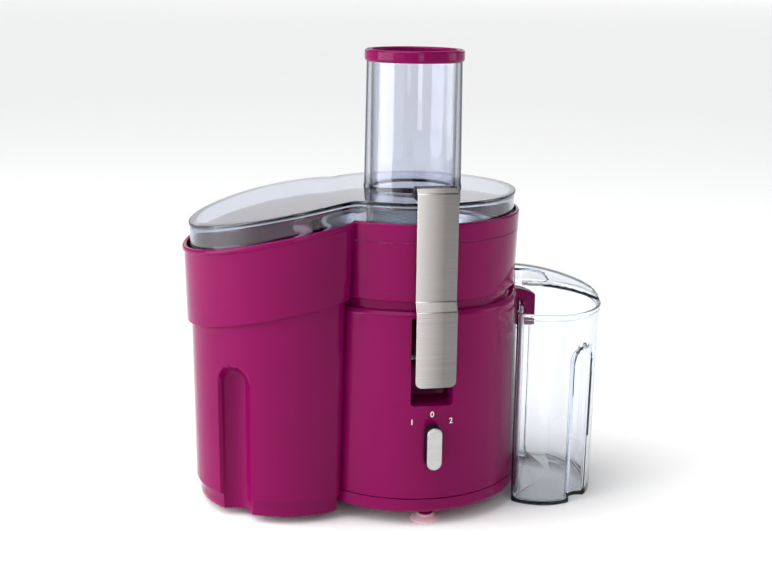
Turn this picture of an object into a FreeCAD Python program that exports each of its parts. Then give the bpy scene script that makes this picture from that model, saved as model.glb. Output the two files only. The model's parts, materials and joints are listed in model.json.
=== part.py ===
import FreeCAD, Part
import math
import os
import Sketcher

# Centrifugal juicer. Millimetres, +Z up, rest plane at Z = 0, front (locking arm and dial) on -Y,
# pulp container on -X, juice jug on +X. Heights are measured from the rest plane, and every plan
# position from the spin axis; each finished piece is then moved so that the origin is under the
# middle of the whole appliance.

os.makedirs("parts", exist_ok=True)
doc = FreeCAD.newDocument("juicer")
sheet = doc.addObject("Spreadsheet::Sheet", "Dims")

DIMENSIONS = [
    # Placing of the spin axis, and general wall sizes
    ("axis_x", 13.6), ("axis_y", 4.5), ("wall", 2.5), ("thin_wall", 2.4), ("steel_sheet", 0.8),
    # Motor base
    ("plate_z", 13.0), ("seam_z", 26.0), ("seam_gap", 0.6), ("shoulder_z", 190.5),
    ("base_low_r", 98.6), ("base_top_r", 95.6), ("neck_r", 88.0), ("deck_hole_r", 14.0),
    ("shoulder_drop", 3.0),
    # Bowl
    ("bowl_z", 199.0), ("bowl_floor_z", 203.5), ("bowl_rim_z", 265.0), ("bowl_low_r", 92.9),
    ("bowl_rim_r", 94.6), ("collar_z", 249.0), ("collar_step", 0.6), ("bowl_hub_r", 28.0),
    ("bowl_hub_z", 212.0), ("outlet_z", 246.0), ("outlet_half", 58.0), ("outlet_lip_r", 106.0),
    ("spout_in_x", 80.0), ("spout_wall_x", 95.5), ("spout_tip_x", 115.5), ("spout_low_z", 153.0),
    ("spout_top_z", 187.0), ("spout_half", 8.5), ("spout_bore_half", 6.2), ("spout_round_r", 40.0),
    # Lid
    ("lid_top_z", 282.0), ("lid_dip", 3.0), ("lid_r", 90.4), ("lid_rise", 18.0),
    ("lobe_a", 84.4), ("lobe_b", 80.9),
    # Feed chute
    ("chute_r", 40.5), ("chute_bore_r", 38.0), ("chute_top_z", 392.0), ("chute_low_z", 230.0),
    ("ring_top_z", 402.0), ("ring_r", 43.6), ("chute_collar_r", 43.6), ("chute_collar_h", 1.2),
    ("chute_foot_r", 43.0), ("chute_head_r", 41.7),
    # Pulp container
    ("bin_x", -112.0), ("bin_foot_z", 7.0), ("bin_body_z", 22.0), ("rim_arc_r", 1118.0),
    ("rim_arc_x", 99.8), ("rim_arc_z", -841.9), ("rim_lip_h", 4.0), ("step_drop", 65.0),
    ("bin_low_a", 82.5), ("bin_low_b", 79.6), ("bin_mid_a", 84.6), ("bin_mid_b", 81.2),
    ("bin_up_a", 88.2), ("bin_up_b", 84.8), ("bin_top_a", 89.5), ("bin_top_b", 86.0),
    ("lip_out", 1.6), ("bin_grip_x", -166.8), ("bin_grip_y", 62.9), ("bin_grip_r", 16.0),
    ("bin_grip_z", 124.0), ("bin_inner_z", 240.0), ("bin_gap_low_r", 100.2), ("bin_gap_top_r", 95.9),
    # Juice jug
    ("jug_x", 118.0), ("jug_a", 56.6), ("jug_b", 73.0),
    ("jug_top_z", 178.0), ("jug_wall", 2.4), ("jug_gap_r", 100.4), ("jug_flange", 1.3),
    ("jug_flange_h", 5.0), ("jug_grip_x", 149.0), ("jug_grip_y", 64.0), ("jug_grip_r", 14.0),
    ("jug_grip_z", 131.0), ("jug_notch_half", 10.5), ("jug_notch_z", 148.0),
    # Locking arm
    ("arm_pivot_y", -86.0), ("arm_pivot_z", 150.0), ("arm_pin_r", 2.5), ("arm_half", 17.4),
    ("arm_core_half", 15.4), ("running_gap", 0.05), ("arm_low_z", 129.0), ("arm_jog_low_z", 194.0),
    ("arm_jog_top_z", 202.0), ("arm_top_z", 296.5), ("arm_inner_y", -97.6), ("arm_face_y", -104.0),
    ("arm_low_face_y", -109.0), ("strap_t", 2.2), ("hook_tip_y", -80.0), ("hook_low_z", 285.5),
    ("hook_top_z", 296.2), ("niche_half", 18.4), ("niche_low_z", 109.0), ("niche_top_z", 186.0),
    ("niche_back_y", -63.0),
    # Dial
    ("dial_z", 74.7), ("dial_half_w", 7.0), ("dial_half_h", 19.3), ("dial_back_y", -98.6),
    ("dial_face_y", -110.0), ("spindle_r", 3.0), ("neck_bush_r", 6.0),
    # Motor and sieve
    ("shaft_r", 4.0), ("bearing_r", 11.0), ("stator_r", 48.0), ("armature_r", 29.0),
    ("basket_rim_z", 251.0), ("basket_rim_r", 80.0), ("basket_low_r", 60.0), ("basket_low_z", 214.0),
    # Suction feet
    ("foot_ring_r", 79.0), ("foot_r", 13.5), ("foot_neck_r", 7.0),
]


class Size:
    """A length kept together with the spreadsheet expression that drives it."""

    def __init__(self, value, text):
        self.value = float(value)
        self.text = text

    def __add__(self, other):
        other = as_size(other)
        return Size(self.value + other.value, "(" + self.text + " + " + other.text + ")")

    def __sub__(self, other):
        other = as_size(other)
        return Size(self.value - other.value, "(" + self.text + " - " + other.text + ")")

    def __mul__(self, other):
        other = as_size(other)
        return Size(self.value * other.value, "(" + self.text + " * " + other.text + ")")

    def __rsub__(self, other):
        return as_size(other) - self

    def __neg__(self):
        return Size(-self.value, "(0 - " + self.text + ")")

    __radd__ = __add__
    __rmul__ = __mul__


def as_size(number):
    """Gives a plain number the same interface as a spreadsheet length."""
    if isinstance(number, Size):
        return number
    text = repr(float(number))
    return Size(number, text if number >= 0 else "(" + text + ")")


D = {}
for row, (alias, amount) in enumerate(DIMENSIONS, start=1):
    sheet.set("A" + str(row), alias)
    sheet.set("B" + str(row), str(amount))
    sheet.setAlias("B" + str(row), alias)
    D[alias] = Size(amount, "Dims." + alias)
doc.recompute()

finished = []


def bind(item, prop, amount):
    """Sets a property to a length and ties it to the spreadsheet."""
    item.setExpression(prop, as_size(amount).text)


def place(item, x=0, y=0, z=0, rotation=None):
    """Puts an object at a spreadsheet-driven position."""
    x, y, z = as_size(x), as_size(y), as_size(z)
    turn = rotation or FreeCAD.Rotation()
    item.Placement = FreeCAD.Placement(FreeCAD.Vector(x.value, y.value, z.value), turn)
    for prop, amount in (("x", x), ("y", y), ("z", z)):
        bind(item, "Placement.Base." + prop, amount)
    return item


ALONG_X = FreeCAD.Rotation(FreeCAD.Vector(0, 1, 0), 90)
ALONG_Y = FreeCAD.Rotation(FreeCAD.Vector(1, 0, 0), -90)


def cylinder(name, radius, height, x=0, y=0, z=0, rotation=None):
    item = doc.addObject("Part::Cylinder", name)
    item.Radius = as_size(radius).value
    item.Height = as_size(height).value
    bind(item, "Radius", radius)
    bind(item, "Height", height)
    return place(item, x, y, z, rotation)


def cone(name, low_r, top_r, height, x=0, y=0, z=0):
    item = doc.addObject("Part::Cone", name)
    for prop, amount in (("Radius1", low_r), ("Radius2", top_r), ("Height", height)):
        setattr(item, prop, as_size(amount).value)
        bind(item, prop, amount)
    return place(item, x, y, z)


def sphere(name, radius, x, y, z):
    item = doc.addObject("Part::Sphere", name)
    item.Radius = as_size(radius).value
    bind(item, "Radius", radius)
    return place(item, x, y, z)


def box(name, x0, x1, y0, y1, z0, z1):
    """A block between two opposite corners."""
    x0, x1, y0, y1, z0, z1 = [as_size(v) for v in (x0, x1, y0, y1, z0, z1)]
    item = doc.addObject("Part::Box", name)
    for prop, amount in (("Length", x1 - x0), ("Width", y1 - y0), ("Height", z1 - z0)):
        setattr(item, prop, amount.value)
        bind(item, prop, amount)
    return place(item, x0, y0, z0)


def fuse(name, *pieces):
    item = doc.addObject("Part::MultiFuse", name)
    item.Shapes = list(pieces)
    return item


def common(name, *pieces):
    item = doc.addObject("Part::MultiCommon", name)
    item.Shapes = list(pieces)
    return item


def cut(name, base, tool):
    item = doc.addObject("Part::Cut", name)
    item.Base = base
    item.Tool = tool
    return item


def oval(name, x, z, half_x, half_y):
    """An upright-plan ellipse; the longer half-axis may lie along X or along Y."""
    half_x, half_y = as_size(half_x), as_size(half_y)
    item = doc.addObject("Part::Ellipse", name)
    long_x = half_x.value >= half_y.value
    major, minor = (half_x, half_y) if long_x else (half_y, half_x)
    item.MajorRadius = major.value
    item.MinorRadius = minor.value
    bind(item, "MajorRadius", major)
    bind(item, "MinorRadius", minor)
    turn = FreeCAD.Rotation() if long_x else FreeCAD.Rotation(FreeCAD.Vector(0, 0, 1), 90)
    return place(item, x, 0, z, turn)


def oval_loft(name, x, low_z, low_a, low_b, top_z, top_a, top_b):
    """A solid between two ellipses in level planes."""
    item = doc.addObject("Part::Loft", name)
    item.Sections = [oval(name + "_low", x, low_z, low_a, low_b),
                     oval(name + "_top", x, top_z, top_a, top_b)]
    item.Solid = True
    item.Ruled = True
    return item


def oval_prism(name, x, low_z, top_z, half_x, half_y):
    """An upright solid of constant elliptical section."""
    item = doc.addObject("Part::Extrusion", name)
    item.Base = oval(name + "_oval", x, low_z, half_x, half_y)
    item.DirMode = "Custom"
    item.Dir = FreeCAD.Vector(0, 0, 1)
    rise = as_size(top_z) - low_z
    item.LengthFwd = rise.value
    bind(item, "LengthFwd", rise)
    item.Solid = True
    return item


def origin_plane(body, role):
    return [f for f in body.Origin.OriginFeatures if f.Role == role][0]


def closed_sketch(body, name, role, points):
    """A closed outline whose corners are fixed to spreadsheet coordinates."""
    sketch = body.newObject("Sketcher::SketchObject", name)
    sketch.AttachmentSupport = (origin_plane(body, role), "")
    sketch.MapMode = "FlatFace"
    corners = [(as_size(u), as_size(v)) for u, v in points]
    count = len(corners)
    for i in range(count):
        u0, v0 = corners[i]
        u1, v1 = corners[(i + 1) % count]
        start = FreeCAD.Vector(u0.value, v0.value, 0)
        end = FreeCAD.Vector(u1.value, v1.value, 0)
        sketch.addGeometry(Part.LineSegment(start, end), False)
    for i in range(count):
        sketch.addConstraint(Sketcher.Constraint("Coincident", i, 2, (i + 1) % count, 1))
    for i, (u, v) in enumerate(corners):
        for kind, amount, axis in (("DistanceX", u, -2), ("DistanceY", v, -1)):
            if abs(amount.value) < 1e-9:
                sketch.addConstraint(Sketcher.Constraint("PointOnObject", i, 1, axis))
                continue
            index = sketch.addConstraint(Sketcher.Constraint(kind, -1, 1, i, 1, amount.value))
            sketch.setExpression("Constraints[" + str(index) + "]", amount.text)
    return sketch


def turned(name, profile):
    """A body turned round Z from a closed (radius, height) outline."""
    body = doc.addObject("PartDesign::Body", name)
    sketch = closed_sketch(body, name + "_outline", "XZ_Plane", profile)
    turn = body.newObject("PartDesign::Revolution", name + "_turn")
    turn.Profile = sketch
    turn.ReferenceAxis = (sketch, ["V_Axis"])
    turn.Angle = 360.0
    sketch.Visibility = False
    return body


def side_profile(name, half_width, profile):
    """A body of constant width along X from a closed (Y, height) outline."""
    body = doc.addObject("PartDesign::Body", name)
    sketch = closed_sketch(body, name + "_outline", "YZ_Plane", profile)
    pad = body.newObject("PartDesign::Pad", name + "_pad")
    pad.Profile = sketch
    pad.Length = 2 * as_size(half_width).value
    bind(pad, "Length", as_size(half_width) * 2)
    pad.Midplane = True
    sketch.Visibility = False
    return body


def ring(name, inner_r, outer_r, low_z, top_z):
    """A plain ring, or a disc when the inner radius is zero."""
    return turned(name, [(inner_r, low_z), (outer_r, low_z), (outer_r, top_z), (inner_r, top_z)])


def finish(item, node):
    """Names a sub-part and moves it from the spin axis to the frame of the whole appliance."""
    item.Label = node
    finished.append((item, node))
    return item


def arch_groove(name, radius, x, y, top_z):
    """An upright round-backed groove with a domed top."""
    shaft = cylinder(name + "_shaft", radius, top_z, x, y, 0)
    dome = sphere(name + "_dome", radius, x, y, top_z)
    return fuse(name, shaft, dome)


# --- Motor base ---------------------------------------------------------------------------------
wall = D["wall"]
shoulder_z = D["shoulder_z"]
housing_shell = turned("housing_shell", [
    (D["base_low_r"], D["seam_z"]),
    (D["base_top_r"], shoulder_z - D["shoulder_drop"]),
    (D["base_top_r"] - D["shoulder_drop"], shoulder_z),
    (D["neck_r"], shoulder_z),
    (D["neck_r"], D["bowl_floor_z"]),
    (D["neck_r"] - wall, D["bowl_floor_z"]),
    (D["neck_r"] - wall, shoulder_z),
    (D["deck_hole_r"], shoulder_z),
    (D["deck_hole_r"], shoulder_z - wall),
    (D["base_top_r"] - wall - D["shoulder_drop"], shoulder_z - wall),
    (D["base_top_r"] - wall, shoulder_z - wall - D["shoulder_drop"]),
    (D["base_low_r"] - wall, D["seam_z"]),
])
niche_wall = box("niche_wall", -D["niche_half"] - wall, D["niche_half"] + wall,
                 -95.5, D["niche_back_y"] + wall, D["niche_low_z"] - wall, shoulder_z - wall)
niche_round = cylinder("niche_round", D["base_top_r"] - 0.4, 200)
niche_block = common("niche_block", niche_wall, niche_round)
niche_room = box("niche_room", -D["niche_half"], D["niche_half"], -110.0, D["niche_back_y"],
                 D["niche_low_z"], D["niche_top_z"])
pin_hole = cylinder("pin_hole", D["arm_pin_r"], 50.0, -25.0, D["arm_pivot_y"], D["arm_pivot_z"], ALONG_X)
dial_hole = cylinder("dial_hole", D["neck_bush_r"], 12.0, 0, -102.0, D["dial_z"], ALONG_Y)
cord_hole = cylinder("cord_hole", 8.0, 14.0, 0, 88.0, 46.0, ALONG_Y)
housing_solid = fuse("housing_solid", housing_shell, niche_block)
spout_slot = box("spout_slot", D["spout_in_x"] - 0.5, 110.0, -D["spout_half"] - 0.5, D["spout_half"] + 0.5,
                 D["spout_low_z"] - 1.0, D["bowl_floor_z"] + 1.0)
housing_cuts = fuse("housing_cuts", niche_room, pin_hole, dial_hole, cord_hole, spout_slot)
finish(cut("motor_housing", housing_solid, housing_cuts), "motor_housing")

plate_top = D["plate_z"] + wall
plate_cup = turned("plate_cup", [
    (0, D["plate_z"]),
    (D["base_low_r"] - 1.5, D["plate_z"]),
    (D["base_low_r"] + 0.3, D["plate_z"] + 2.0),
    (D["base_low_r"] + 0.1, D["seam_z"] - D["seam_gap"]),
    (D["base_low_r"] - wall - 0.3, D["seam_z"] - D["seam_gap"]),
    (D["base_low_r"] - wall - 0.3, D["seam_z"] + 4.0),
    (D["base_low_r"] - wall * 2, D["seam_z"] + 4.0),
    (D["base_low_r"] - wall * 2, plate_top),
    (0, plate_top),
])
PILLAR_ANGLES = (45, 135, 225, 315)
PILLAR_RING = 52.0
pillars = []
for angle in PILLAR_ANGLES:
    px = PILLAR_RING * math.cos(math.radians(angle))
    py = PILLAR_RING * math.sin(math.radians(angle))
    pillars.append(cylinder("plate_post_" + str(angle), 4.0, 44.0 - plate_top, px, py, plate_top))
finish(fuse("base_plate", plate_cup, *pillars), "base_plate")

FOOT_ANGLES = (0, 90, 180, 270)
foot_cups = []
foot_stems = []
for angle in FOOT_ANGLES:
    fx = D["foot_ring_r"] * round(math.cos(math.radians(angle)), 6)
    fy = D["foot_ring_r"] * round(math.sin(math.radians(angle)), 6)
    cup_flare = cone("cup_flare_" + str(angle), D["foot_r"], D["foot_neck_r"] - 1.0, 5.0, fx, fy, 0.0)
    cup_hollow = cone("cup_hollow_" + str(angle), D["foot_r"] - 2.0, D["foot_neck_r"] - 3.0, 3.0, fx, fy, 0.0)
    foot_cups.append(cut("cup_" + str(angle), cup_flare, cup_hollow))
    foot_stems.append(cylinder("stem_" + str(angle), D["foot_neck_r"], D["plate_z"] - 5.0, fx, fy, 5.0))
finish(fuse("suction_cups", *foot_cups), "suction_cups")
finish(fuse("foot_stems", *foot_stems), "foot_stems")

screw_pieces = []
for angle in PILLAR_ANGLES:
    sx = 80.0 * math.cos(math.radians(angle))
    sy = 80.0 * math.sin(math.radians(angle))
    screw_pieces.append(cylinder("screw_" + str(angle), 3.4, 1.6, sx, sy, D["plate_z"] - 1.6))
finish(fuse("base_screws", *screw_pieces), "base_screws")

finish(cylinder("arm_pivot_pin", D["arm_pin_r"], 41.0, -20.5, D["arm_pivot_y"], D["arm_pivot_z"], ALONG_X),
       "arm_pivot_pin")

gland_flange = cylinder("gland_flange", 11.0, 2.6, 0, 98.4, 46.0, ALONG_Y)
gland_barrel = cylinder("gland_barrel", 8.0, 16.0, 0, 84.0, 46.0, ALONG_Y)
gland_bore = cylinder("gland_bore", 4.0, 30.0, 0, 80.0, 46.0, ALONG_Y)
finish(cut("cord_gland", fuse("gland_solid", gland_flange, gland_barrel), gland_bore), "cord_gland")

# --- Switches -----------------------------------------------------------------------------------
switch_block = box("switch_block", -13.0, 13.0, -92.5, -70.0, D["dial_z"] - 12.0, D["dial_z"] + 12.0)
switch_neck = cylinder("switch_neck", D["neck_bush_r"], 6.0, 0, -97.4, D["dial_z"], ALONG_Y)
switch_bore = cylinder("switch_bore", D["spindle_r"] + D["running_gap"], 16.0, 0, -98.0, D["dial_z"], ALONG_Y)
finish(cut("rotary_switch", fuse("switch_solid", switch_block, switch_neck), switch_bore), "rotary_switch")
finish(box("interlock_switch", D["niche_half"] + wall, D["niche_half"] + wall + 11.0,
           -84.0, -66.0, 140.0, 158.0), "interlock_switch")

# --- Motor --------------------------------------------------------------------------------------
lower_bracket_plate = turned("lower_bracket_plate", [
    (D["bearing_r"], 44.0), (60.0, 44.0), (60.0, 47.0), (D["bearing_r"], 47.0)])
bracket_posts = []
spacer_posts = []
for angle in PILLAR_ANGLES:
    px = PILLAR_RING * math.cos(math.radians(angle))
    py = PILLAR_RING * math.sin(math.radians(angle))
    bracket_posts.append(cylinder("bracket_post_" + str(angle), 4.0, 118.0, px, py, 47.0))
    spacer_posts.append(cylinder("spacer_post_" + str(angle), 5.0, shoulder_z - wall - 168.0, px, py, 168.0))
finish(fuse("motor_bracket", lower_bracket_plate, *bracket_posts), "motor_bracket")
upper_bracket_plate = turned("upper_bracket_plate", [
    (D["bearing_r"], 165.0), (60.0, 165.0), (60.0, 168.0), (D["bearing_r"], 168.0)])
finish(fuse("motor_top_bracket", upper_bracket_plate, *spacer_posts), "motor_top_bracket")
finish(ring("lower_bearing", D["shaft_r"] + D["running_gap"], D["bearing_r"], 42.0, 49.0), "lower_bearing")
finish(ring("upper_bearing", D["shaft_r"] + D["running_gap"], D["bearing_r"], 163.0, 170.0), "upper_bearing")
finish(ring("motor_stator", D["armature_r"] + 1.0, D["stator_r"], 82.0, 138.0), "motor_stator")
brushes = []
for side in (-1, 1):
    near, far = sorted((side * 15.5, side * 47.0))
    brushes.append(box("brush_" + ("a" if side < 0 else "b"), near, far, -4.0, 4.0, 58.0, 66.0))
brush_ring = ring("brush_ring", 44.0, 48.0, 56.0, 68.0)
finish(fuse("brush_holder", brush_ring, *brushes), "brush_holder")
finish(ring("shaft_seal", D["shaft_r"] + D["running_gap"], D["deck_hole_r"],
            shoulder_z - wall, shoulder_z + 1.0), "shaft_seal")

finish(ring("motor_shaft", 0, D["shaft_r"], 40.0, 213.0), "motor_shaft")
finish(ring("motor_armature", D["shaft_r"], D["armature_r"], 84.0, 136.0), "motor_armature")
finish(ring("commutator", D["shaft_r"], 15.0, 55.0, 70.0), "commutator")
fan_hub = ring("fan_hub", D["shaft_r"], 12.0, 144.0, 156.0)
fan_blades = []
FAN_BLADES = 9
for i in range(FAN_BLADES):
    blade = box("fan_blade_" + str(i), 11.0, 42.0, -0.8, 0.8, 144.0, 156.0)
    blade.Placement = FreeCAD.Placement(FreeCAD.Vector(0, 0, 0), FreeCAD.Rotation(
        FreeCAD.Vector(0, 0, 1), i * 360.0 / FAN_BLADES)).multiply(blade.Placement)
    for axis_name in ("x", "y"):
        blade.setExpression("Placement.Base." + axis_name, None)
    angle = math.radians(i * 360.0 / FAN_BLADES)
    blade.Placement.Base = FreeCAD.Vector(11.0 * math.cos(angle) + 0.8 * math.sin(angle),
                                          11.0 * math.sin(angle) - 0.8 * math.cos(angle), 144.0)
    fan_blades.append(blade)
fan_disc = ring("fan_disc", D["shaft_r"], 42.0, 142.6, 144.0)
finish(fuse("cooling_fan", fan_hub, fan_disc, *fan_blades), "cooling_fan")

# --- Sieve and grater ---------------------------------------------------------------------------
basket_low_z = D["basket_low_z"]
steel = D["steel_sheet"]
finish(turned("drive_coupling", [
    (D["shaft_r"], 195.0), (20.0, 195.0), (20.0, 207.0), (24.0, 211.0), (24.0, basket_low_z),
    (D["shaft_r"], basket_low_z)]), "drive_coupling")
finish(turned("filter_basket", [
    (22.0, basket_low_z), (D["basket_low_r"], basket_low_z),
    (D["basket_rim_r"] - 3.0, D["basket_rim_z"] - 4.0),
    (D["basket_rim_r"] - 3.0 - steel, D["basket_rim_z"] - 4.0),
    (D["basket_low_r"] - steel, basket_low_z + steel), (22.0, basket_low_z + steel)]), "filter_basket")
finish(turned("basket_rim", [
    (D["basket_rim_r"] - 3.0, D["basket_rim_z"] - 6.0), (D["basket_rim_r"], D["basket_rim_z"] - 4.0),
    (D["basket_rim_r"] + 1.0, D["basket_rim_z"]), (D["basket_rim_r"] - 4.2, D["basket_rim_z"]),
    (D["basket_rim_r"] - 4.2, D["basket_rim_z"] - 4.0), (D["basket_rim_r"] - 3.0, D["basket_rim_z"] - 4.0)]),
    "basket_rim")
disc_plate = ring("disc_plate", 6.0, 54.0, basket_low_z + steel, basket_low_z + steel * 2)
disc_teeth = []
for turn_index, tooth_ring in enumerate((16.0, 23.0, 30.0, 37.0, 44.0, 50.0)):
    tooth_count = 6 + 2 * turn_index
    for i in range(tooth_count):
        angle = math.radians(360.0 * i / tooth_count + 13.0 * turn_index)
        disc_teeth.append(cone("tooth_%d_%d" % (turn_index, i), 1.3, 0.4, 2.2 + steel,
                               tooth_ring * math.cos(angle), tooth_ring * math.sin(angle),
                               basket_low_z + steel))
finish(fuse("grater_disc", disc_plate, *disc_teeth), "grater_disc")
finish(turned("disc_nut", [(0, basket_low_z + 1.6), (9.0, basket_low_z + 1.6), (7.0, basket_low_z + 5.0),
                           (0, basket_low_z + 6.5)]), "disc_nut")

# --- Bowl ---------------------------------------------------------------------------------------
bowl_floor_z = D["bowl_floor_z"]
bowl_shell = turned("bowl_shell", [
    (D["bowl_low_r"], D["bowl_z"]),
    (D["bowl_rim_r"], D["collar_z"]),
    (D["bowl_rim_r"] - wall, D["collar_z"]),
    (D["bowl_low_r"] - wall, bowl_floor_z + wall),
    (D["bowl_hub_r"], bowl_floor_z + wall),
    (D["bowl_hub_r"], D["bowl_hub_z"] - 2.0),
    (D["bowl_hub_r"] - wall, D["bowl_hub_z"] - 2.0),
    (D["bowl_hub_r"] - wall, bowl_floor_z),
    (D["bowl_low_r"] - wall, bowl_floor_z),
    (D["bowl_low_r"] - wall, D["bowl_z"]),
])
outlet_ring = ring("outlet_ring", D["bowl_low_r"] - 1.6, D["outlet_lip_r"], D["outlet_z"] - wall,
                   D["outlet_z"])
outlet_block = box("outlet_block", -112.0, -50.0, -D["outlet_half"], D["outlet_half"], 240.0, 250.0)
outlet_lip = common("outlet_lip", outlet_ring, outlet_block)
# Juice spout: a duct down through the slot in the base, then a round-topped nose over the jug
spout_duct = box("spout_duct", D["spout_in_x"], D["spout_wall_x"], -D["spout_half"], D["spout_half"],
                 D["spout_low_z"], bowl_floor_z + 1.0)
spout_block = box("spout_block", D["spout_wall_x"] - 5.0, D["spout_tip_x"], -D["spout_half"], D["spout_half"],
                  D["spout_low_z"], D["spout_top_z"] + 1.0)
spout_round = cylinder("spout_round", D["spout_round_r"], 40.0, D["spout_wall_x"], -20.0,
                       D["spout_top_z"] - D["spout_round_r"], ALONG_Y)
spout_nose = common("spout_nose", spout_block, spout_round)
spout_well = box("spout_well", D["spout_in_x"] + wall, D["spout_wall_x"] - wall, -D["spout_bore_half"],
                 D["spout_bore_half"], D["spout_low_z"] + wall, bowl_floor_z + wall + 1.0)
spout_channel = box("spout_channel", D["spout_wall_x"] - wall * 2, D["spout_tip_x"] - wall,
                    -D["spout_bore_half"], D["spout_bore_half"], D["spout_low_z"] + wall,
                    D["spout_top_z"] - 8.5)
spout_mouth = box("spout_mouth", D["spout_tip_x"] - 13.0, D["spout_tip_x"] - wall, -D["spout_bore_half"],
                  D["spout_bore_half"], D["spout_low_z"] - 2.0, D["spout_low_z"] + wall * 2)
spout_hole = fuse("spout_hole", spout_well, spout_channel, spout_mouth)
outlet_window = box("outlet_window", -112.0, -40.0, -D["outlet_half"], D["outlet_half"], D["outlet_z"], 252.0)
bowl_solid = fuse("bowl_solid", bowl_shell, outlet_lip, spout_duct, spout_nose)
finish(cut("juice_bowl", bowl_solid, fuse("bowl_cuts", spout_hole, outlet_window)), "juice_bowl")

collar_shell = turned("collar_shell", [
    (D["bowl_rim_r"] + D["collar_step"] - 0.3, D["collar_z"]),
    (D["bowl_rim_r"] + D["collar_step"], D["bowl_rim_z"] - 1.0),
    (D["bowl_rim_r"] + D["collar_step"] - 1.0, D["bowl_rim_z"]),
    (D["bowl_rim_r"] - wall, D["bowl_rim_z"]),
    (D["bowl_rim_r"] - wall, D["collar_z"]),
])
collar_window = box("collar_window", -112.0, -40.0, -D["outlet_half"], D["outlet_half"], 240.0, 270.0)
collar_lobe = oval_prism("collar_lobe", D["bin_x"], 258.0, 270.0, D["lobe_a"] + 1.8, D["lobe_b"] + 1.8)
finish(cut("bowl_collar", collar_shell, fuse("collar_cuts", collar_window, collar_lobe)), "bowl_collar")


# --- Arched envelopes shared by the container rim and the lid -----------------------------------
def arch(name, rise):
    """A very large round bar along Y whose top is the sloping rim line, moved up by `rise`."""
    return cylinder(name, D["rim_arc_r"] + rise, 300.0, D["rim_arc_x"], -150.0, D["rim_arc_z"], ALONG_Y)


# --- Pulp container -----------------------------------------------------------------------------
bin_x = D["bin_x"]
low_outer = oval_loft("low_outer", bin_x, D["bin_body_z"], D["bin_low_a"], D["bin_low_b"],
                      230.0, D["bin_mid_a"], D["bin_mid_b"])
low_part = common("low_part", low_outer, arch("low_arch", -D["step_drop"]))
up_outer = oval_loft("up_outer", bin_x, 150.0, D["bin_up_a"], D["bin_up_b"],
                     275.0, D["bin_top_a"], D["bin_top_b"])
up_part = cut("up_part", common("up_common", up_outer, arch("rim_arch", 0.0)),
              arch("step_arch", -D["step_drop"]))
lip_outer = oval_prism("lip_outer", bin_x, 200.0, 275.0, D["bin_top_a"] + D["lip_out"],
                       D["bin_top_b"] + D["lip_out"])
lip_part = cut("lip_part", common("lip_common", lip_outer, arch("lip_arch", 0.0)),
               arch("lip_low_arch", -D["rim_lip_h"]))
foot_part = oval_loft("foot_part", bin_x, D["bin_foot_z"], D["bin_low_a"] - 3.6, D["bin_low_b"] - 3.6,
                      D["bin_body_z"], D["bin_low_a"] - 2.4, D["bin_low_b"] - 2.4)
bin_solid = fuse("bin_solid", low_part, up_part, lip_part, foot_part)
low_room = oval_loft("low_room", bin_x, D["bin_body_z"] - 10.0, D["bin_low_a"] - 6.6, D["bin_low_b"] - 6.6,
                     275.0, D["bin_mid_a"] - wall, D["bin_mid_b"] - wall)
up_room = cut("up_room", oval_loft("up_room_oval", bin_x, 150.0, D["bin_up_a"] - wall, D["bin_up_b"] - wall,
                                   275.0, D["bin_top_a"] - wall, D["bin_top_b"] - wall),
              arch("room_step_arch", wall - D["step_drop"]))
gap_cone = cone("gap_cone", D["bin_gap_low_r"], D["bin_gap_top_r"], 275.0)
wall_cone = cone("wall_cone", D["bin_gap_low_r"] + wall, D["bin_gap_top_r"] + wall, 275.0)
grips = []
grip_walls = []
for side, sign in (("front", -1), ("back", 1)):
    grips.append(arch_groove("bin_grip_" + side, D["bin_grip_r"], D["bin_grip_x"],
                             D["bin_grip_y"] * sign, D["bin_grip_z"]))
    grip_walls.append(arch_groove("bin_grip_wall_" + side, D["bin_grip_r"] + wall, D["bin_grip_x"],
                                  D["bin_grip_y"] * sign, D["bin_grip_z"]))
bin_room = cut("bin_room", fuse("bin_rooms", low_room, up_room),
               fuse("bin_walls", wall_cone, *grip_walls))
inner_notch = cylinder("inner_notch", D["outlet_lip_r"] - 1.0, 60.0, 0, 0, D["bin_inner_z"])
bin_cuts = fuse("bin_cuts", bin_room, gap_cone, inner_notch, *grips)
bin_whole = cut("bin_whole", bin_solid, bin_cuts)
foot_slab = box("foot_slab", -230.0, 0.0, -120.0, 120.0, 0.0, D["bin_body_z"])
bin_walls_all = cut("bin_walls_all", bin_whole, foot_slab)
finish(common("container_foot", bin_whole, foot_slab), "container_foot")
finish(common("pulp_container", bin_walls_all, arch("split_arch_low", -D["step_drop"])), "pulp_container")
finish(cut("container_band", bin_walls_all, arch("split_arch_top", -D["step_drop"])), "container_band")

# --- Lid ----------------------------------------------------------------------------------------
skin = D["thin_wall"]
lid_round = cylinder("lid_round", D["lid_r"], D["lid_top_z"] - D["bowl_rim_z"] + D["lid_dip"],
                     0, 0, D["bowl_rim_z"] - D["lid_dip"])
lobe_prism = oval_prism("lobe_prism", bin_x, 200.0, D["lid_top_z"], D["lobe_a"], D["lobe_b"])
lobe_part = cut("lobe_part", common("lobe_common", lobe_prism, arch("lid_arch", D["lid_rise"])),
                arch("lid_skirt_arch", -D["lid_dip"]))
room_round = cylinder("room_round", D["lid_r"] - skin, D["lid_top_z"] - skin - 240.0, 0, 0, 240.0)
room_lobe = common("room_lobe",
                   oval_prism("room_prism", bin_x, 190.0, D["lid_top_z"] - skin, D["lobe_a"] - skin,
                              D["lobe_b"] - skin),
                   arch("room_arch", D["lid_rise"] - skin))
chute_opening = cylinder("chute_opening", D["chute_r"], 60.0, 0, 0, 240.0)
finish(cut("lid_cover", fuse("lid_solid", lid_round, lobe_part),
           fuse("lid_cuts", room_round, room_lobe, chute_opening)), "lid_cover")
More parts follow.
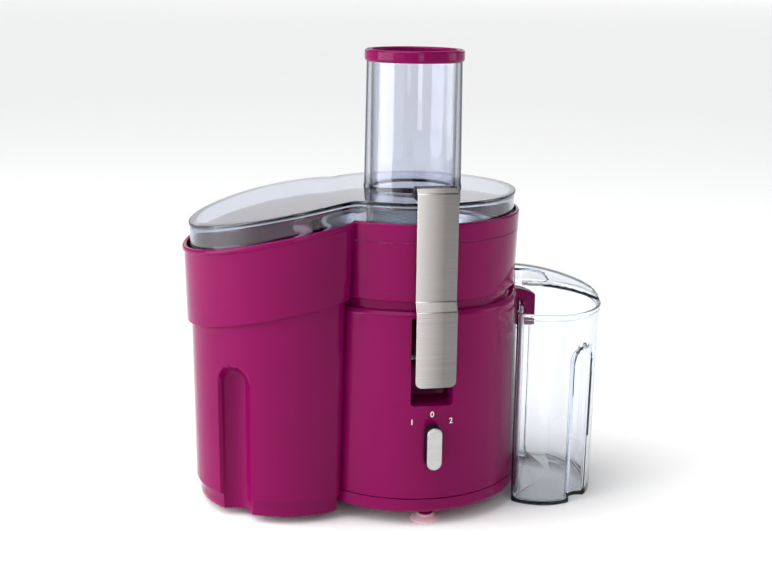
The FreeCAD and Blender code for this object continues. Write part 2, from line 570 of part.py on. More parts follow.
finish(turned("feed_chute", [
    (D["chute_bore_r"], D["chute_low_z"]), (D["chute_r"], D["chute_low_z"]),
    (D["chute_r"], D["lid_top_z"]), (D["chute_collar_r"], D["lid_top_z"]),
    (D["chute_collar_r"] - 0.3, D["lid_top_z"] + D["chute_collar_h"]),
    (D["chute_foot_r"], D["lid_top_z"] + D["chute_collar_h"] + 2.0),
    (D["chute_head_r"], D["chute_top_z"]), (D["chute_bore_r"], D["chute_top_z"])]), "feed_chute")
finish(turned("chute_ring", [
    (D["chute_bore_r"] + 0.4, D["chute_top_z"]), (D["ring_r"] - 0.6, D["chute_top_z"]),
    (D["ring_r"], D["chute_top_z"] + 2.0), (D["ring_r"], D["ring_top_z"] - 1.5),
    (D["ring_r"] - 1.5, D["ring_top_z"]), (D["chute_bore_r"] + 1.2, D["ring_top_z"]),
    (D["chute_bore_r"] + 0.4, D["ring_top_z"] - 1.0)]), "chute_ring")

# --- Locking arm --------------------------------------------------------------------------------
strap_t = D["strap_t"]
strap_plate = side_profile("strap_plate", D["arm_half"], [
    (D["arm_face_y"], D["arm_top_z"]), (D["arm_face_y"], D["arm_jog_top_z"]),
    (D["arm_low_face_y"], D["arm_jog_low_z"]), (D["arm_low_face_y"], D["arm_low_z"]),
    (D["arm_low_face_y"] + strap_t, D["arm_low_z"]), (D["arm_low_face_y"] + strap_t, D["arm_jog_low_z"]),
    (D["arm_face_y"] + strap_t, D["arm_jog_top_z"]), (D["arm_face_y"] + strap_t, D["arm_top_z"])])
CORNER = 5.0
corner_cuts = []
for side, sign in (("left", -1), ("right", 1)):
    near, far = sorted(((D["arm_half"].value - CORNER) * sign, (D["arm_half"].value + 1.0) * sign))
    block = box("corner_block_" + side, near, far, -112.0, -100.0,
                D["arm_low_z"] - 1.0, D["arm_low_z"] + CORNER)
    round_bar = cylinder("corner_bar_" + side, CORNER, 20.0, (D["arm_half"].value - CORNER) * sign,
                         -114.0, D["arm_low_z"] + CORNER, ALONG_Y)
    corner_cuts.append(cut("corner_cut_" + side, block, round_bar))
finish(cut("arm_strap", strap_plate, fuse("corner_cuts", *corner_cuts)), "arm_strap")

core_plate = side_profile("core_plate", D["arm_core_half"], [
    (D["arm_face_y"] + strap_t, D["hook_top_z"]), (D["arm_face_y"] + strap_t, D["arm_jog_top_z"]),
    (D["arm_low_face_y"] + strap_t, D["arm_jog_low_z"]),
    (D["arm_low_face_y"] + strap_t, D["arm_low_z"] + 3.0),
    (D["arm_low_face_y"] + strap_t + 4.0, D["arm_low_z"] + 3.0),
    (D["arm_pivot_y"] - 3.0, D["arm_pivot_z"] - 6.0),
    (D["arm_pivot_y"] - 3.0, D["arm_pivot_z"] + 6.0), (D["arm_inner_y"] - 3.0, D["arm_pivot_z"] + 28.0),
    (D["arm_inner_y"] - 1.0, D["arm_jog_top_z"] + 2.0),
    (D["arm_inner_y"], D["hook_low_z"] - 6.0), (D["arm_inner_y"] + 2.0, D["hook_low_z"]),
    (D["hook_tip_y"] - 5.0, D["hook_low_z"]), (D["hook_tip_y"] - 5.0, D["hook_top_z"])])
arm_boss = cylinder("arm_boss", 7.0, D["arm_core_half"] * 2, -D["arm_core_half"],
                    D["arm_pivot_y"], D["arm_pivot_z"], ALONG_X)
boss_bore = cylinder("boss_bore", D["arm_pin_r"] + D["running_gap"], 60.0, -30.0,
                     D["arm_pivot_y"], D["arm_pivot_z"], ALONG_X)
hook_head = box("hook_head", -D["arm_half"], D["arm_half"], D["arm_face_y"] + strap_t, D["hook_tip_y"],
                D["hook_low_z"], D["hook_top_z"])
finish(cut("arm_core", fuse("core_solid", core_plate, arm_boss, hook_head), boss_bore), "arm_core")

# --- Dial ---------------------------------------------------------------------------------------
dial_depth = D["dial_back_y"] - D["dial_face_y"]
end_offset = D["dial_half_h"] - D["dial_half_w"]
dial_block = box("dial_block", -D["dial_half_w"], D["dial_half_w"], D["dial_face_y"] + 1.2, D["dial_back_y"],
                 D["dial_z"] - end_offset, D["dial_z"] + end_offset)
dial_ends = []
face_ends = []
for side, sign in (("low", -1), ("top", 1)):
    end_z = D["dial_z"] + end_offset * sign
    dial_ends.append(cylinder("dial_end_" + side, D["dial_half_w"], dial_depth - 1.2, 0,
                              D["dial_face_y"] + 1.2, end_z, ALONG_Y))
    face_ends.append(cylinder("face_end_" + side, D["dial_half_w"], 1.2, 0, D["dial_face_y"], end_z, ALONG_Y))
face_block = box("face_block", -D["dial_half_w"], D["dial_half_w"], D["dial_face_y"], D["dial_face_y"] + 1.2,
                 D["dial_z"] - end_offset, D["dial_z"] + end_offset)
finish(fuse("dial_knob", dial_block, *dial_ends), "dial_knob")
finish(fuse("dial_face", face_block, *face_ends), "dial_face")
finish(cylinder("dial_spindle", D["spindle_r"], 14.0, 0, D["dial_back_y"], D["dial_z"], ALONG_Y),
       "dial_spindle")

# --- Juice jug ----------------------------------------------------------------------------------
jug_x = D["jug_x"]
jug_t = D["jug_wall"]
jug_outer = oval_prism("jug_outer", jug_x, 0.0, D["jug_top_z"], D["jug_a"], D["jug_b"])
jug_flange = oval_prism("jug_flange", jug_x, D["jug_top_z"] - D["jug_flange_h"], D["jug_top_z"],
                        D["jug_a"] + D["jug_flange"], D["jug_b"] + D["jug_flange"])
jug_room = oval_prism("jug_room", jug_x, 3.0, D["jug_top_z"] + 5.0, D["jug_a"] - jug_t, D["jug_b"] - jug_t)
HALF_TURN = FreeCAD.Rotation(FreeCAD.Vector(0, 0, 1), 180)
jug_gap = cylinder("jug_gap", D["jug_gap_r"], 300.0, rotation=HALF_TURN)
jug_inner = cylinder("jug_inner", D["jug_gap_r"] + jug_t, 300.0, rotation=HALF_TURN)
jug_grips = []
jug_grip_walls = []
for side, sign in (("front", -1), ("back", 1)):
    jug_grips.append(arch_groove("jug_grip_" + side, D["jug_grip_r"], D["jug_grip_x"],
                                 D["jug_grip_y"] * sign, D["jug_grip_z"]))
    jug_grip_walls.append(arch_groove("jug_grip_wall_" + side, D["jug_grip_r"] + jug_t, D["jug_grip_x"],
                                      D["jug_grip_y"] * sign, D["jug_grip_z"]))
jug_void = cut("jug_void_round", jug_room, jug_inner)
jug_block = cut("jug_kidney", fuse("jug_solid", jug_outer, jug_flange), jug_gap)
for side, grip, grip_wall in zip(("front", "back"), jug_grips, jug_grip_walls):
    jug_void = cut("jug_void_" + side, jug_void, grip_wall)
    jug_block = cut("jug_block_" + side, jug_block, grip)
jug_notch = box("jug_notch", 90.0, 112.0, -D["jug_notch_half"], D["jug_notch_half"], D["jug_notch_z"],
                D["jug_top_z"] + 5.0)
finish(cut("juice_jug", cut("jug_hollow", jug_block, jug_void), jug_notch), "juice_jug")

# Splash guard: a thin dome over the back half of the jug, open at the front and round the spout
GUARD_R = 190.0
guard_z = D["jug_top_z"] + 23.0 - GUARD_R
guard_ball = sphere("guard_ball", GUARD_R, 96.0, 24.0, guard_z)
guard_core = sphere("guard_core", GUARD_R - 2.0, 96.0, 24.0, guard_z)
guard_prism = oval_prism("guard_prism", jug_x, D["jug_top_z"] + 0.4, D["jug_top_z"] + 30.0,
                         D["jug_a"], D["jug_b"])
guard_skin = cut("guard_skin", common("guard_solid", guard_ball, guard_prism), guard_core)
guard_open = box("guard_open", 60.0, 200.0, -90.0, -22.0, 170.0, 220.0)
guard_notch = box("guard_notch", 60.0, 126.0, -16.0, 16.0, 170.0, 220.0)
guard_base = cylinder("guard_base", D["jug_gap_r"], 300.0, rotation=HALF_TURN)
guard_rim = cut("guard_rim", oval_prism("guard_rim_outer", jug_x, D["jug_top_z"], D["jug_top_z"] + 2.0,
                                        D["jug_a"], D["jug_b"]),
                oval_prism("guard_rim_inner", jug_x, D["jug_top_z"] - 1.0, D["jug_top_z"] + 3.0,
                           D["jug_a"] - 3.0, D["jug_b"] - 3.0))
guard_band = cut("guard_band",
                 oval_prism("guard_band_outer", jug_x, D["jug_top_z"] + 1.0, D["jug_top_z"] + 30.0,
                            D["jug_a"], D["jug_b"]),
                 oval_prism("guard_band_inner", jug_x, D["jug_top_z"], D["jug_top_z"] + 31.0,
                            D["jug_a"] - 2.0, D["jug_b"] - 2.0))
guard_wall = common("guard_wall", guard_band, guard_ball)
finish(cut("jug_guard", fuse("guard_all", guard_skin, guard_rim, guard_wall),
           fuse("guard_cuts", guard_open, guard_notch, guard_base)), "jug_guard")

# --- Move every piece to the appliance frame, check it and write it ------------------------------
doc.recompute()
for item, node in finished:
    base = item.Placement.Base
    if item.isDerivedFrom("Part::Cylinder") or item.isDerivedFrom("Part::Box"):
        driven = {e[0]: e[1] for e in item.ExpressionEngine}
        text_x = driven.get(".Placement.Base.x", driven.get("Placement.Base.x"))
        text_y = driven.get(".Placement.Base.y", driven.get("Placement.Base.y"))
        item.setExpression("Placement.Base.x", text_x + " + Dims.axis_x")
        item.setExpression("Placement.Base.y", text_y + " + Dims.axis_y")
    else:
        item.setExpression("Placement.Base.x", "Dims.axis_x")
        item.setExpression("Placement.Base.y", "Dims.axis_y")
doc.recompute()

for item in doc.Objects:
    if "Invalid" in item.State or "Error" in item.State:
        raise RuntimeError("object in error: " + item.Name)
for item, node in finished:
    shape = item.Shape
    if shape.isNull() or not shape.isValid():
        raise RuntimeError("bad shape: " + node)
    shape.exportStep("parts/" + node + ".step")
    limits = shape.BoundBox
    print("%-18s x %7.1f %7.1f  y %7.1f %7.1f  z %6.1f %6.1f  solids %d  vol %9.0f" % (
        node, limits.XMin, limits.XMax, limits.YMin, limits.YMax, limits.ZMin, limits.ZMax,
        len(shape.Solids), shape.Volume))
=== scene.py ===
import json
import math

import bmesh
import bpy
from mathutils import Matrix, Vector


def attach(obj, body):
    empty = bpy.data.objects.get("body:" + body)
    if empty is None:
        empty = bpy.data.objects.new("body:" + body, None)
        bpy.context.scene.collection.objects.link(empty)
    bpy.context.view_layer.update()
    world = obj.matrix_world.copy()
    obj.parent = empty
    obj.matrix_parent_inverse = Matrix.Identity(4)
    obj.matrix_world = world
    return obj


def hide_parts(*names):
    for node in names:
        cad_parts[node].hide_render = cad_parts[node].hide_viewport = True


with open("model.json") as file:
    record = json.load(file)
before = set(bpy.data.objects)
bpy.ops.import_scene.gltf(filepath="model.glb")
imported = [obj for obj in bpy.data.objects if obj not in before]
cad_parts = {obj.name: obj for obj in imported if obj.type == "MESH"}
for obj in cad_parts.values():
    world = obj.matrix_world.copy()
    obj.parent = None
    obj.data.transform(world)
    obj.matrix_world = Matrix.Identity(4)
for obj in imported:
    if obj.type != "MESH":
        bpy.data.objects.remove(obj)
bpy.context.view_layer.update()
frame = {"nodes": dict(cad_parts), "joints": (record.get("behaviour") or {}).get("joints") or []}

# The spin axis of the appliance, in metres, from the record's own joint.
SPIN = [j for j in frame["joints"] if j["name"] == "motor_spin"][0]["pos_m"]
AX, AY = SPIN[0], SPIN[1]
MM = 0.001


# ------------------------------------------------------------------ mesh helpers
# Shapes are written in millimetres, in plan from the spin axis and in height from the worktop.

def lerp(a, b, t):
    return a + (b - a) * t


def shade_smooth(mesh, angle):
    """Smooth shading, with edges sharper than the angle (in degrees) kept crisp."""
    for p in mesh.polygons:
        p.use_smooth = True
    mesh.set_sharp_from_angle(angle=math.radians(angle))


def new_object(name, verts, faces, smooth_angle=38.0):
    """A mesh object from millimetre corners, with its faces turned outward."""
    mesh = bpy.data.meshes.new(name)
    mesh.from_pydata([(x * MM + AX, y * MM + AY, z * MM) for x, y, z in verts], [], faces)
    bm = bmesh.new()
    bm.from_mesh(mesh)
    bmesh.ops.remove_doubles(bm, verts=bm.verts, dist=1e-7)
    bmesh.ops.recalc_face_normals(bm, faces=bm.faces)
    if bm.calc_volume(signed=True) < 0:
        bmesh.ops.reverse_faces(bm, faces=bm.faces)
    bm.to_mesh(mesh)
    bm.free()
    shade_smooth(mesh, smooth_angle)
    obj = bpy.data.objects.new(name, mesh)
    bpy.context.scene.collection.objects.link(obj)
    return obj


def piece(obj, body, material, replaces=()):
    """Puts a finished mesh on its CAD body with its material."""
    obj.data.materials.clear()
    obj.data.materials.append(material)
    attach(obj, body)
    if replaces:
        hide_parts(*replaces)
    return obj


def rounded(points, radius=1.0, steps=4, closed=True, keep=0.35):
    """A 2-D outline with its corners rounded. A point may carry its own radius as a third number."""
    out = []
    count = len(points)
    for i, p in enumerate(points):
        r = p[2] if len(p) > 2 else radius
        if not closed and i in (0, count - 1):
            out.append((p[0], p[1]))
            continue
        a, b = points[i - 1], points[(i + 1) % count]
        va = Vector((a[0] - p[0], a[1] - p[1]))
        vb = Vector((b[0] - p[0], b[1] - p[1]))
        la, lb = va.length, vb.length
        if r <= 0 or la < 1e-6 or lb < 1e-6:
            out.append((p[0], p[1]))
            continue
        va.normalize()
        vb.normalize()
        cosine = max(-1.0, min(1.0, va.dot(vb)))
        half = math.acos(cosine) / 2
        if half > math.radians(88):
            out.append((p[0], p[1]))
            continue
        d = min(r / math.tan(half), la * 0.48, lb * 0.48)
        start = Vector((p[0], p[1])) + va * d
        end = Vector((p[0], p[1])) + vb * d
        extra = min(keep, la * 0.5 - d) if la * 0.5 - d > 0.02 else 0
        if extra > 0:
            q = start + va * extra
            out.append((q.x, q.y))
        corner = Vector((p[0], p[1]))
        # an arc through start and end, tangent to both sides
        real_r = d * math.tan(half)
        bis = (va + vb).normalized()
        centre = corner + bis * (real_r / math.sin(half))
        a0 = math.atan2(start.y - centre.y, start.x - centre.x)
        a1 = math.atan2(end.y - centre.y, end.x - centre.x)
        while a1 - a0 > math.pi:
            a1 -= 2 * math.pi
        while a1 - a0 < -math.pi:
            a1 += 2 * math.pi
        for k in range(steps + 1):
            ang = lerp(a0, a1, k / steps)
            out.append((centre.x + real_r * math.cos(ang), centre.y + real_r * math.sin(ang)))
        extra = min(keep, lb * 0.5 - d) if lb * 0.5 - d > 0.02 else 0
        if extra > 0:
            q = end + vb * extra
            out.append((q.x, q.y))
    return out


def lathe(name, profile, seg=192, centre=(0, 0)):
    """A turned piece round an upright axis from a (radius, height) outline."""
    verts, faces = [], []
    n = len(profile)
    for i in range(seg):
        a = 2 * math.pi * i / seg
        c, s = math.cos(a), math.sin(a)
        for r, z in profile:
            verts.append((centre[0] + r * c, centre[1] + r * s, z))
    for i in range(seg):
        j = (i + 1) % seg
        for k in range(n):
            m = (k + 1) % n
            if profile[k][0] < 1e-6 and profile[m][0] < 1e-6:
                continue
            faces.append((i * n + k, j * n + k, j * n + m, i * n + m))
    return new_object(name, verts, faces)


def rings_mesh(name, rings, wrap=True, cap_ends=False):
    """A skin through rings of equal point count."""
    n = len(rings[0])
    verts = [p for ring in rings for p in ring]
    faces = []
    m = len(rings)
    for i in range(m if wrap else m - 1):
        j = (i + 1) % m
        for k in range(n):
            q = (k + 1) % n
            faces.append((i * n + k, i * n + q, j * n + q, j * n + k))
    if cap_ends:
        faces.append(tuple(range(n)))
        faces.append(tuple((m - 1) * n + k for k in reversed(range(n))))
    return new_object(name, verts, faces)


def join(name, objs):
    """Joins meshes that are one piece."""
    bpy.ops.object.select_all(action="DESELECT")
    for o in objs:
        o.select_set(True)
    bpy.context.view_layer.objects.active = objs[0]
    bpy.ops.object.join()
    objs[0].name = name
    objs[0].data.name = name
    return objs[0]


def apply_modifiers(obj):
    bpy.context.view_layer.update()
    deps = bpy.context.evaluated_depsgraph_get()
    mesh = bpy.data.meshes.new_from_object(obj.evaluated_get(deps))
    old = obj.data
    obj.modifiers.clear()
    obj.data = mesh
    bpy.data.meshes.remove(old)


def break_edges(obj, width, segments, limit):
    """Rounds every edge sharper than the limit, in degrees."""
    mod = obj.modifiers.new("edge", "BEVEL")
    mod.width = width * MM
    mod.segments = segments
    mod.limit_method = "ANGLE"
    mod.angle_limit = math.radians(limit)
    apply_modifiers(obj)


def carve(obj, cutters, bevel=0.0, angle=38.0, operation="DIFFERENCE"):
    """Cuts other meshes away (or adds or keeps them), then breaks the edges."""
    for c in cutters:
        mod = obj.modifiers.new("cut", "BOOLEAN")
        mod.operation = operation
        mod.solver = "EXACT"
        mod.object = c
    apply_modifiers(obj)
    for c in cutters:
        bpy.data.objects.remove(c)
    if bevel:
        break_edges(obj, bevel, 2, 50)
    shade_smooth(obj.data, angle)
    return obj


def prism(name, outline, axis, low, high, bevel=0.0):
    """A solid of constant section. `outline` holds the two coordinates across `axis`, in X, Y, Z order."""
    n = len(outline)
    verts = []
    for level in (low, high):
        for u, v in outline:
            point = {"x": (level, u, v), "y": (u, level, v), "z": (u, v, level)}[axis]
            verts.append(point)
    faces = [tuple(range(n)), tuple(reversed(range(n, 2 * n)))]
    for k in range(n):
        q = (k + 1) % n
        faces.append((k, q, n + q, n + k))
    obj = new_object(name, verts, faces, 30.0)
    if bevel:
        break_edges(obj, bevel, 3, 35)
        shade_smooth(obj.data, 38.0)
    return obj


def cup_mesh(name, rings, mid_x, under_z, floor_z):
    """A one-piece vessel: a skin from the underside over the lip to the inside, with a fan for each floor."""
    n = len(rings[0])
    verts = [p for ring in rings for p in ring]
    faces = []
    for i in range(len(rings) - 1):
        for k in range(n):
            q = (k + 1) % n
            faces.append((i * n + k, i * n + q, (i + 1) * n + q, (i + 1) * n + k))
    for index, z in ((0, under_z), (len(rings) - 1, floor_z)):
        mid = len(verts)
        verts.append((mid_x, 0.0, z))
        for k in range(n):
            faces.append((index * n + k, index * n + (k + 1) % n, mid))
    return new_object(name, verts, faces, 42.0)


# ------------------------------------------------------------------ plan outlines
# The container's rim is an arc of a large circle seen from the front; its centre and radius.
ARC_R, ARC_X, ARC_Z = 1118.0, 99.8, -841.9
# Centres of the container's and the jug's ovals.
BIN_X, JUG_X = -112.0, 118.0


def rect(u0, v0, u1, v1):
    return [(u0, v0), (u1, v0), (u1, v1), (u0, v1)]


def circle(radius, count, centre=(0, 0)):
    return [(centre[0] + radius * math.cos(2 * math.pi * k / count),
             centre[1] + radius * math.sin(2 * math.pi * k / count)) for k in range(count)]


def oval(cx, a, b, count):
    return [(cx + a * math.cos(t), b * math.sin(t)) for t in [2 * math.pi * k / count for k in range(count)]]


def stadium(half_w, half_h, steps):
    """Upright slot outline with round ends, in (X, Z)."""
    out = []
    for sign in (1, -1):
        for k in range(steps + 1):
            a = math.pi * k / steps
            out.append((half_w * math.cos(a) * sign, sign * (half_h - half_w) + half_w * math.sin(a) * sign))
    return out


def arch_z(x, rise=0.0):
    """Height of the container's sloping rim line over a plan position, moved up by `rise`."""
    r = ARC_R + rise
    return ARC_Z + math.sqrt(r * r - (x - ARC_X) ** 2)


def ellipse_point(cx, a, b, u):
    """Point of an ellipse; u = 0 is the side away from the spin axis, growing towards the back."""
    return (cx - a * math.cos(u), b * math.sin(u))


def meet_angle(cx, a, b, r):
    """Ellipse angle at which it crosses a circle about the spin axis (cx is negative)."""
    low, high = 0.0, math.pi
    for _ in range(50):
        mid = (low + high) / 2
        x, y = ellipse_point(cx, a, b, mid)
        if x * x + y * y > r * r:
            low = mid
        else:
            high = mid
    return low


def soften(points, corner, reach):
    """Replaces the points within `reach` of a corner of a closed outline with a smooth curve."""
    n = len(points)
    i, j = corner, corner
    total = 0.0
    while total < reach:
        a, b = points[i % n], points[(i - 1) % n]
        total += math.dist(a, b)
        i -= 1
    total = 0.0
    while total < reach:
        a, b = points[j % n], points[(j + 1) % n]
        total += math.dist(a, b)
        j += 1
    start, end, tip = points[i % n], points[j % n], points[corner % n]
    span = j - i
    for k in range(1, span):
        t = k / span
        x = (1 - t) ** 2 * start[0] + 2 * t * (1 - t) * tip[0] + t * t * end[0]
        y = (1 - t) ** 2 * start[1] + 2 * t * (1 - t) * tip[1] + t * t * end[1]
        points[(i + k) % n] = (x, y)
    return points


def spaced(low, high, count, dense):
    """Parameters from low to high, closer together near each (value, width) in `dense`."""
    fine = 2000
    total = [0.0]
    for k in range(fine):
        u = lerp(low, high, (k + 0.5) / fine)
        w = 1.0
        for centre, width in dense:
            w += 3.0 * math.exp(-((u - centre) / width) ** 2)
        total.append(total[-1] + w)
    out = []
    k = 0
    for i in range(count):
        target = total[-1] * i / (count - 1)
        while k < fine - 1 and total[k + 1] < target:
            k += 1
        t = (target - total[k]) / (total[k + 1] - total[k]) if total[k + 1] > total[k] else 0
        out.append(lerp(low, high, (k + t) / fine))
    return out


def lobe_outline(cx, a, b, gap_r, reach, dense, across=60):
    """Oval cut away round the spin axis, as [(x, y, arc)], arc 0 on the oval and 1 on the cut side."""
    along = 150
    mirror = -1 if cx > 0 else 1
    cx = cx * mirror
    edge = meet_angle(cx, a, b, gap_r)
    pts = []
    marks = []
    for u in spaced(-edge, edge, along, dense):
        pts.append(ellipse_point(cx, a, b, u))
        marks.append(0.0)
    x, y = ellipse_point(cx, a, b, edge)
    swing = math.atan2(y, -x)
    for k in range(1, across):
        t = k / across
        ang = lerp(swing, -swing, t)
        pts.append((-gap_r * math.cos(ang), gap_r * math.sin(ang)))
        marks.append(1.0)
    soften(pts, 0, reach)
    soften(pts, along - 1, reach)
    return [(x * mirror, y, m) for (x, y), m in zip(pts, marks)]


def lid_outline(grow):
    """Union of the lid's round part and its side lobe, moved outward by `grow`."""
    r, a, b = 90.4 + grow, 84.4 + grow, 80.9 + grow
    reach, along, across = 5.0, 150, 150
    edge = meet_angle(BIN_X, a, b, r)
    pts = [ellipse_point(BIN_X, a, b, lerp(-edge, edge, k / (along - 1))) for k in range(along)]
    x, y = ellipse_point(BIN_X, a, b, edge)
    swing = math.atan2(y, x)
    for k in range(1, across):
        ang = lerp(swing, -swing, k / across)
        pts.append((r * math.cos(ang), r * math.sin(ang)))
    soften(pts, 0, reach)
    soften(pts, along - 1, reach)
    return pts


def pressed(x, y, z, grips, near, radius, top_z):
    """A wall point moved in by the grip grooves: upright round channels with a domed top.

    Each grip is a point of its axis and its outward direction; `near` keeps it off the far wall."""
    for gx, gy, nx, ny in grips:
        if (x - gx) ** 2 + (y - gy) ** 2 >= near * near:
            continue
        across = (x - gx) * -ny + (y - gy) * nx
        d = math.hypot(across, max(0.0, z - top_z))
        if d >= radius:
            continue
        push = math.sqrt(radius * radius - d * d) + (x - gx) * nx + (y - gy) * ny
        if push > 0:
            x -= nx * push
            y -= ny * push
    return x, y


# ------------------------------------------------------------------ materials
def base_material(name, color, rough, metallic=0.0, spec=0.5):
    """A material with one Principled shader: the material, its node tree and the shader."""
    mat = bpy.data.materials.new(name)
    mat.use_nodes = True
    nt = mat.node_tree
    nt.nodes.clear()
    out = nt.nodes.new("ShaderNodeOutputMaterial")
    shader = nt.nodes.new("ShaderNodeBsdfPrincipled")
    nt.links.new(shader.outputs["BSDF"], out.inputs["Surface"])
    shader.inputs["Base Color"].default_value = (*color, 1)
    shader.inputs["Roughness"].default_value = rough
    shader.inputs["Metallic"].default_value = metallic
    shader.inputs["Specular IOR Level"].default_value = spec
    return mat, nt, shader


def coords(nt, scale=(1, 1, 1)):
    tex = nt.nodes.new("ShaderNodeTexCoord")
    mapping = nt.nodes.new("ShaderNodeMapping")
    mapping.inputs["Scale"].default_value = scale
    nt.links.new(tex.outputs["Object"], mapping.inputs["Vector"])
    return mapping.outputs["Vector"]


def noise(nt, vector, scale, detail=3.0, rough=0.5):
    node = nt.nodes.new("ShaderNodeTexNoise")
    node.inputs["Scale"].default_value = scale
    node.inputs["Detail"].default_value = detail
    node.inputs["Roughness"].default_value = rough
    nt.links.new(vector, node.inputs["Vector"])
    return node.outputs["Fac"]


def remap(nt, value, low, high, from_low=0.3, from_high=0.7):
    node = nt.nodes.new("ShaderNodeMapRange")
    node.inputs["From Min"].default_value = from_low
    node.inputs["From Max"].default_value = from_high
    node.inputs["To Min"].default_value = low
    node.inputs["To Max"].default_value = high
    nt.links.new(value, node.inputs["Value"])
    return node.outputs["Result"]


def mix_color(nt, factor, a, b):
    node = nt.nodes.new("ShaderNodeMix")
    node.data_type = "RGBA"
    node.inputs["A"].default_value = (*a, 1)
    node.inputs["B"].default_value = (*b, 1)
    nt.links.new(factor, node.inputs["Factor"])
    return node.outputs["Result"]


def bump(nt, shader, height, strength, distance):
    node = nt.nodes.new("ShaderNodeBump")
    node.inputs["Strength"].default_value = strength
    node.inputs["Distance"].default_value = distance
    nt.links.new(height, node.inputs["Height"])
    nt.links.new(node.outputs["Normal"], shader.inputs["Normal"])


def glossy_plastic(name, color, dark, rough=0.085, spec=0.13):
    """Moulded ABS: nearly even colour, faint flow marks and a very slight orange peel under the gloss."""
    mat, nt, shader = base_material(name, color, rough, spec=spec)
    v = coords(nt)
    flow = noise(nt, v, 9.0, 2.0)
    nt.links.new(mix_color(nt, remap(nt, flow, 0.0, 1.0), color, dark), shader.inputs["Base Color"])
    nt.links.new(remap(nt, noise(nt, v, 60.0, 4.0), rough * 0.8, rough * 1.35), shader.inputs["Roughness"])
    bump(nt, shader, noise(nt, v, 320.0, 2.0), 0.05, 0.0003)
    return mat


def brushed_metal(name, color, grain, rough=0.33, aniso=0.5, depth=0.25, painted_sheen=None):
    """Brushed sheet: scratches run along the axis with the small scale.

    The last argument, ((x, tone), (x, tone)), scales the colour from one tone at the first x to another at
    the second: painted highlight and painted shade across the width, lighter where the light falls and darker
    away from it."""
    mat, nt, shader = base_material(name, color, rough, metallic=1.0)
    v = coords(nt, grain)
    streak = noise(nt, v, 1.0, 4.0, 0.65)
    broad = noise(nt, coords(nt), 22.0, 2.0)
    light = tuple(min(1.0, c * 1.12) for c in color)
    deep = tuple(c * 0.84 for c in color)
    tone = mix_color(nt, remap(nt, streak, 0.0, 1.0), deep, light)
    if painted_sheen:
        # painted light and shade: the colour is scaled from a bright tone at x0 to a dark tone at x1
        (x0, tone0), (x1, tone1) = painted_sheen
        split = nt.nodes.new("ShaderNodeSeparateXYZ")
        nt.links.new(coords(nt), split.inputs[0])
        scaled = nt.nodes.new("ShaderNodeVectorMath")
        scaled.operation = "SCALE"
        nt.links.new(tone, scaled.inputs[0])
        nt.links.new(remap(nt, split.outputs["X"], tone0, tone1, x0, x1), scaled.inputs["Scale"])
        tone = scaled.outputs[0]
    nt.links.new(tone, shader.inputs["Base Color"])
    add = nt.nodes.new("ShaderNodeMath")
    add.operation = "ADD"
    nt.links.new(remap(nt, streak, rough * 0.75, rough * 1.2), add.inputs[0])
    nt.links.new(remap(nt, broad, -0.03, 0.05), add.inputs[1])
    nt.links.new(add.outputs[0], shader.inputs["Roughness"])
    shader.inputs["Anisotropic"].default_value = aniso
    bump(nt, shader, streak, depth, 0.0002)
    return mat


def fine_plastic(name, color, rough=0.5, grain=900.0, strength=0.12, spec=0.5):
    """Spark-eroded matt plastic."""
    mat, nt, shader = base_material(name, color, rough, spec=spec)
    v = coords(nt)
    speck = noise(nt, v, grain, 3.0)
    cloud = noise(nt, v, 30.0, 2.0)
    lighter = tuple(min(1.0, c * 1.25 + 0.004) for c in color)
    nt.links.new(mix_color(nt, remap(nt, cloud, 0.0, 1.0), color, lighter), shader.inputs["Base Color"])
    nt.links.new(remap(nt, speck, rough * 0.85, rough * 1.15), shader.inputs["Roughness"])
    bump(nt, shader, speck, strength, 0.0003)
    return mat


def clear_plastic(name, color, absorb, density, spec, rim=None, clear=1.0, shine=0.4):
    """Clear moulded plastic; light is taken up along its way through the wall.

    rim = (colour, from, to) paints a shade colour on the wall where it is seen edge on, standing in for the
    dark surroundings seen through and off the wall there; `clear` and `shine` are what is left there of its
    transmission and its reflection."""
    rough = 0.015
    mat, nt, shader = base_material(name, color, rough, spec=spec)
    shader.inputs["Transmission Weight"].default_value = 1.0
    shader.inputs["IOR"].default_value = 1.45
    v = coords(nt)
    nt.links.new(remap(nt, noise(nt, v, 45.0, 3.0), rough * 0.6, rough * 1.8), shader.inputs["Roughness"])
    cloud = remap(nt, noise(nt, v, 14.0, 2.0), 0.0, 1.0)
    near = tuple(c * 0.975 for c in color)
    tone = mix_color(nt, cloud, color, near)
    if rim:
        # painted shade at the edges seen edge on: the colour turns to the edge colour while transmission and
        # reflection drop
        edge, start, stop = rim
        facing = nt.nodes.new("ShaderNodeLayerWeight")
        facing.inputs["Blend"].default_value = 0.5
        side = facing.outputs["Facing"]
        both = nt.nodes.new("ShaderNodeMix")
        both.data_type = "RGBA"
        both.inputs["B"].default_value = (*edge, 1)
        nt.links.new(remap(nt, side, 0.0, 1.0, start, stop), both.inputs["Factor"])
        nt.links.new(tone, both.inputs["A"])
        nt.links.new(remap(nt, side, spec, spec * shine, start, stop), shader.inputs["Specular IOR Level"])
        nt.links.new(remap(nt, side, 1.0, clear, start, stop), shader.inputs["Transmission Weight"])
        tone = both.outputs["Result"]
    nt.links.new(tone, shader.inputs["Base Color"])
    bump(nt, shader, noise(nt, v, 120.0, 2.0), 0.03, 0.0003)
    volume = nt.nodes.new("ShaderNodeVolumeAbsorption")
    volume.inputs["Color"].default_value = (*absorb, 1)
    volume.inputs["Density"].default_value = density
    out = [n for n in nt.nodes if n.type == "OUTPUT_MATERIAL"][0]
    nt.links.new(volume.outputs["Volume"], out.inputs["Volume"])
    return mat


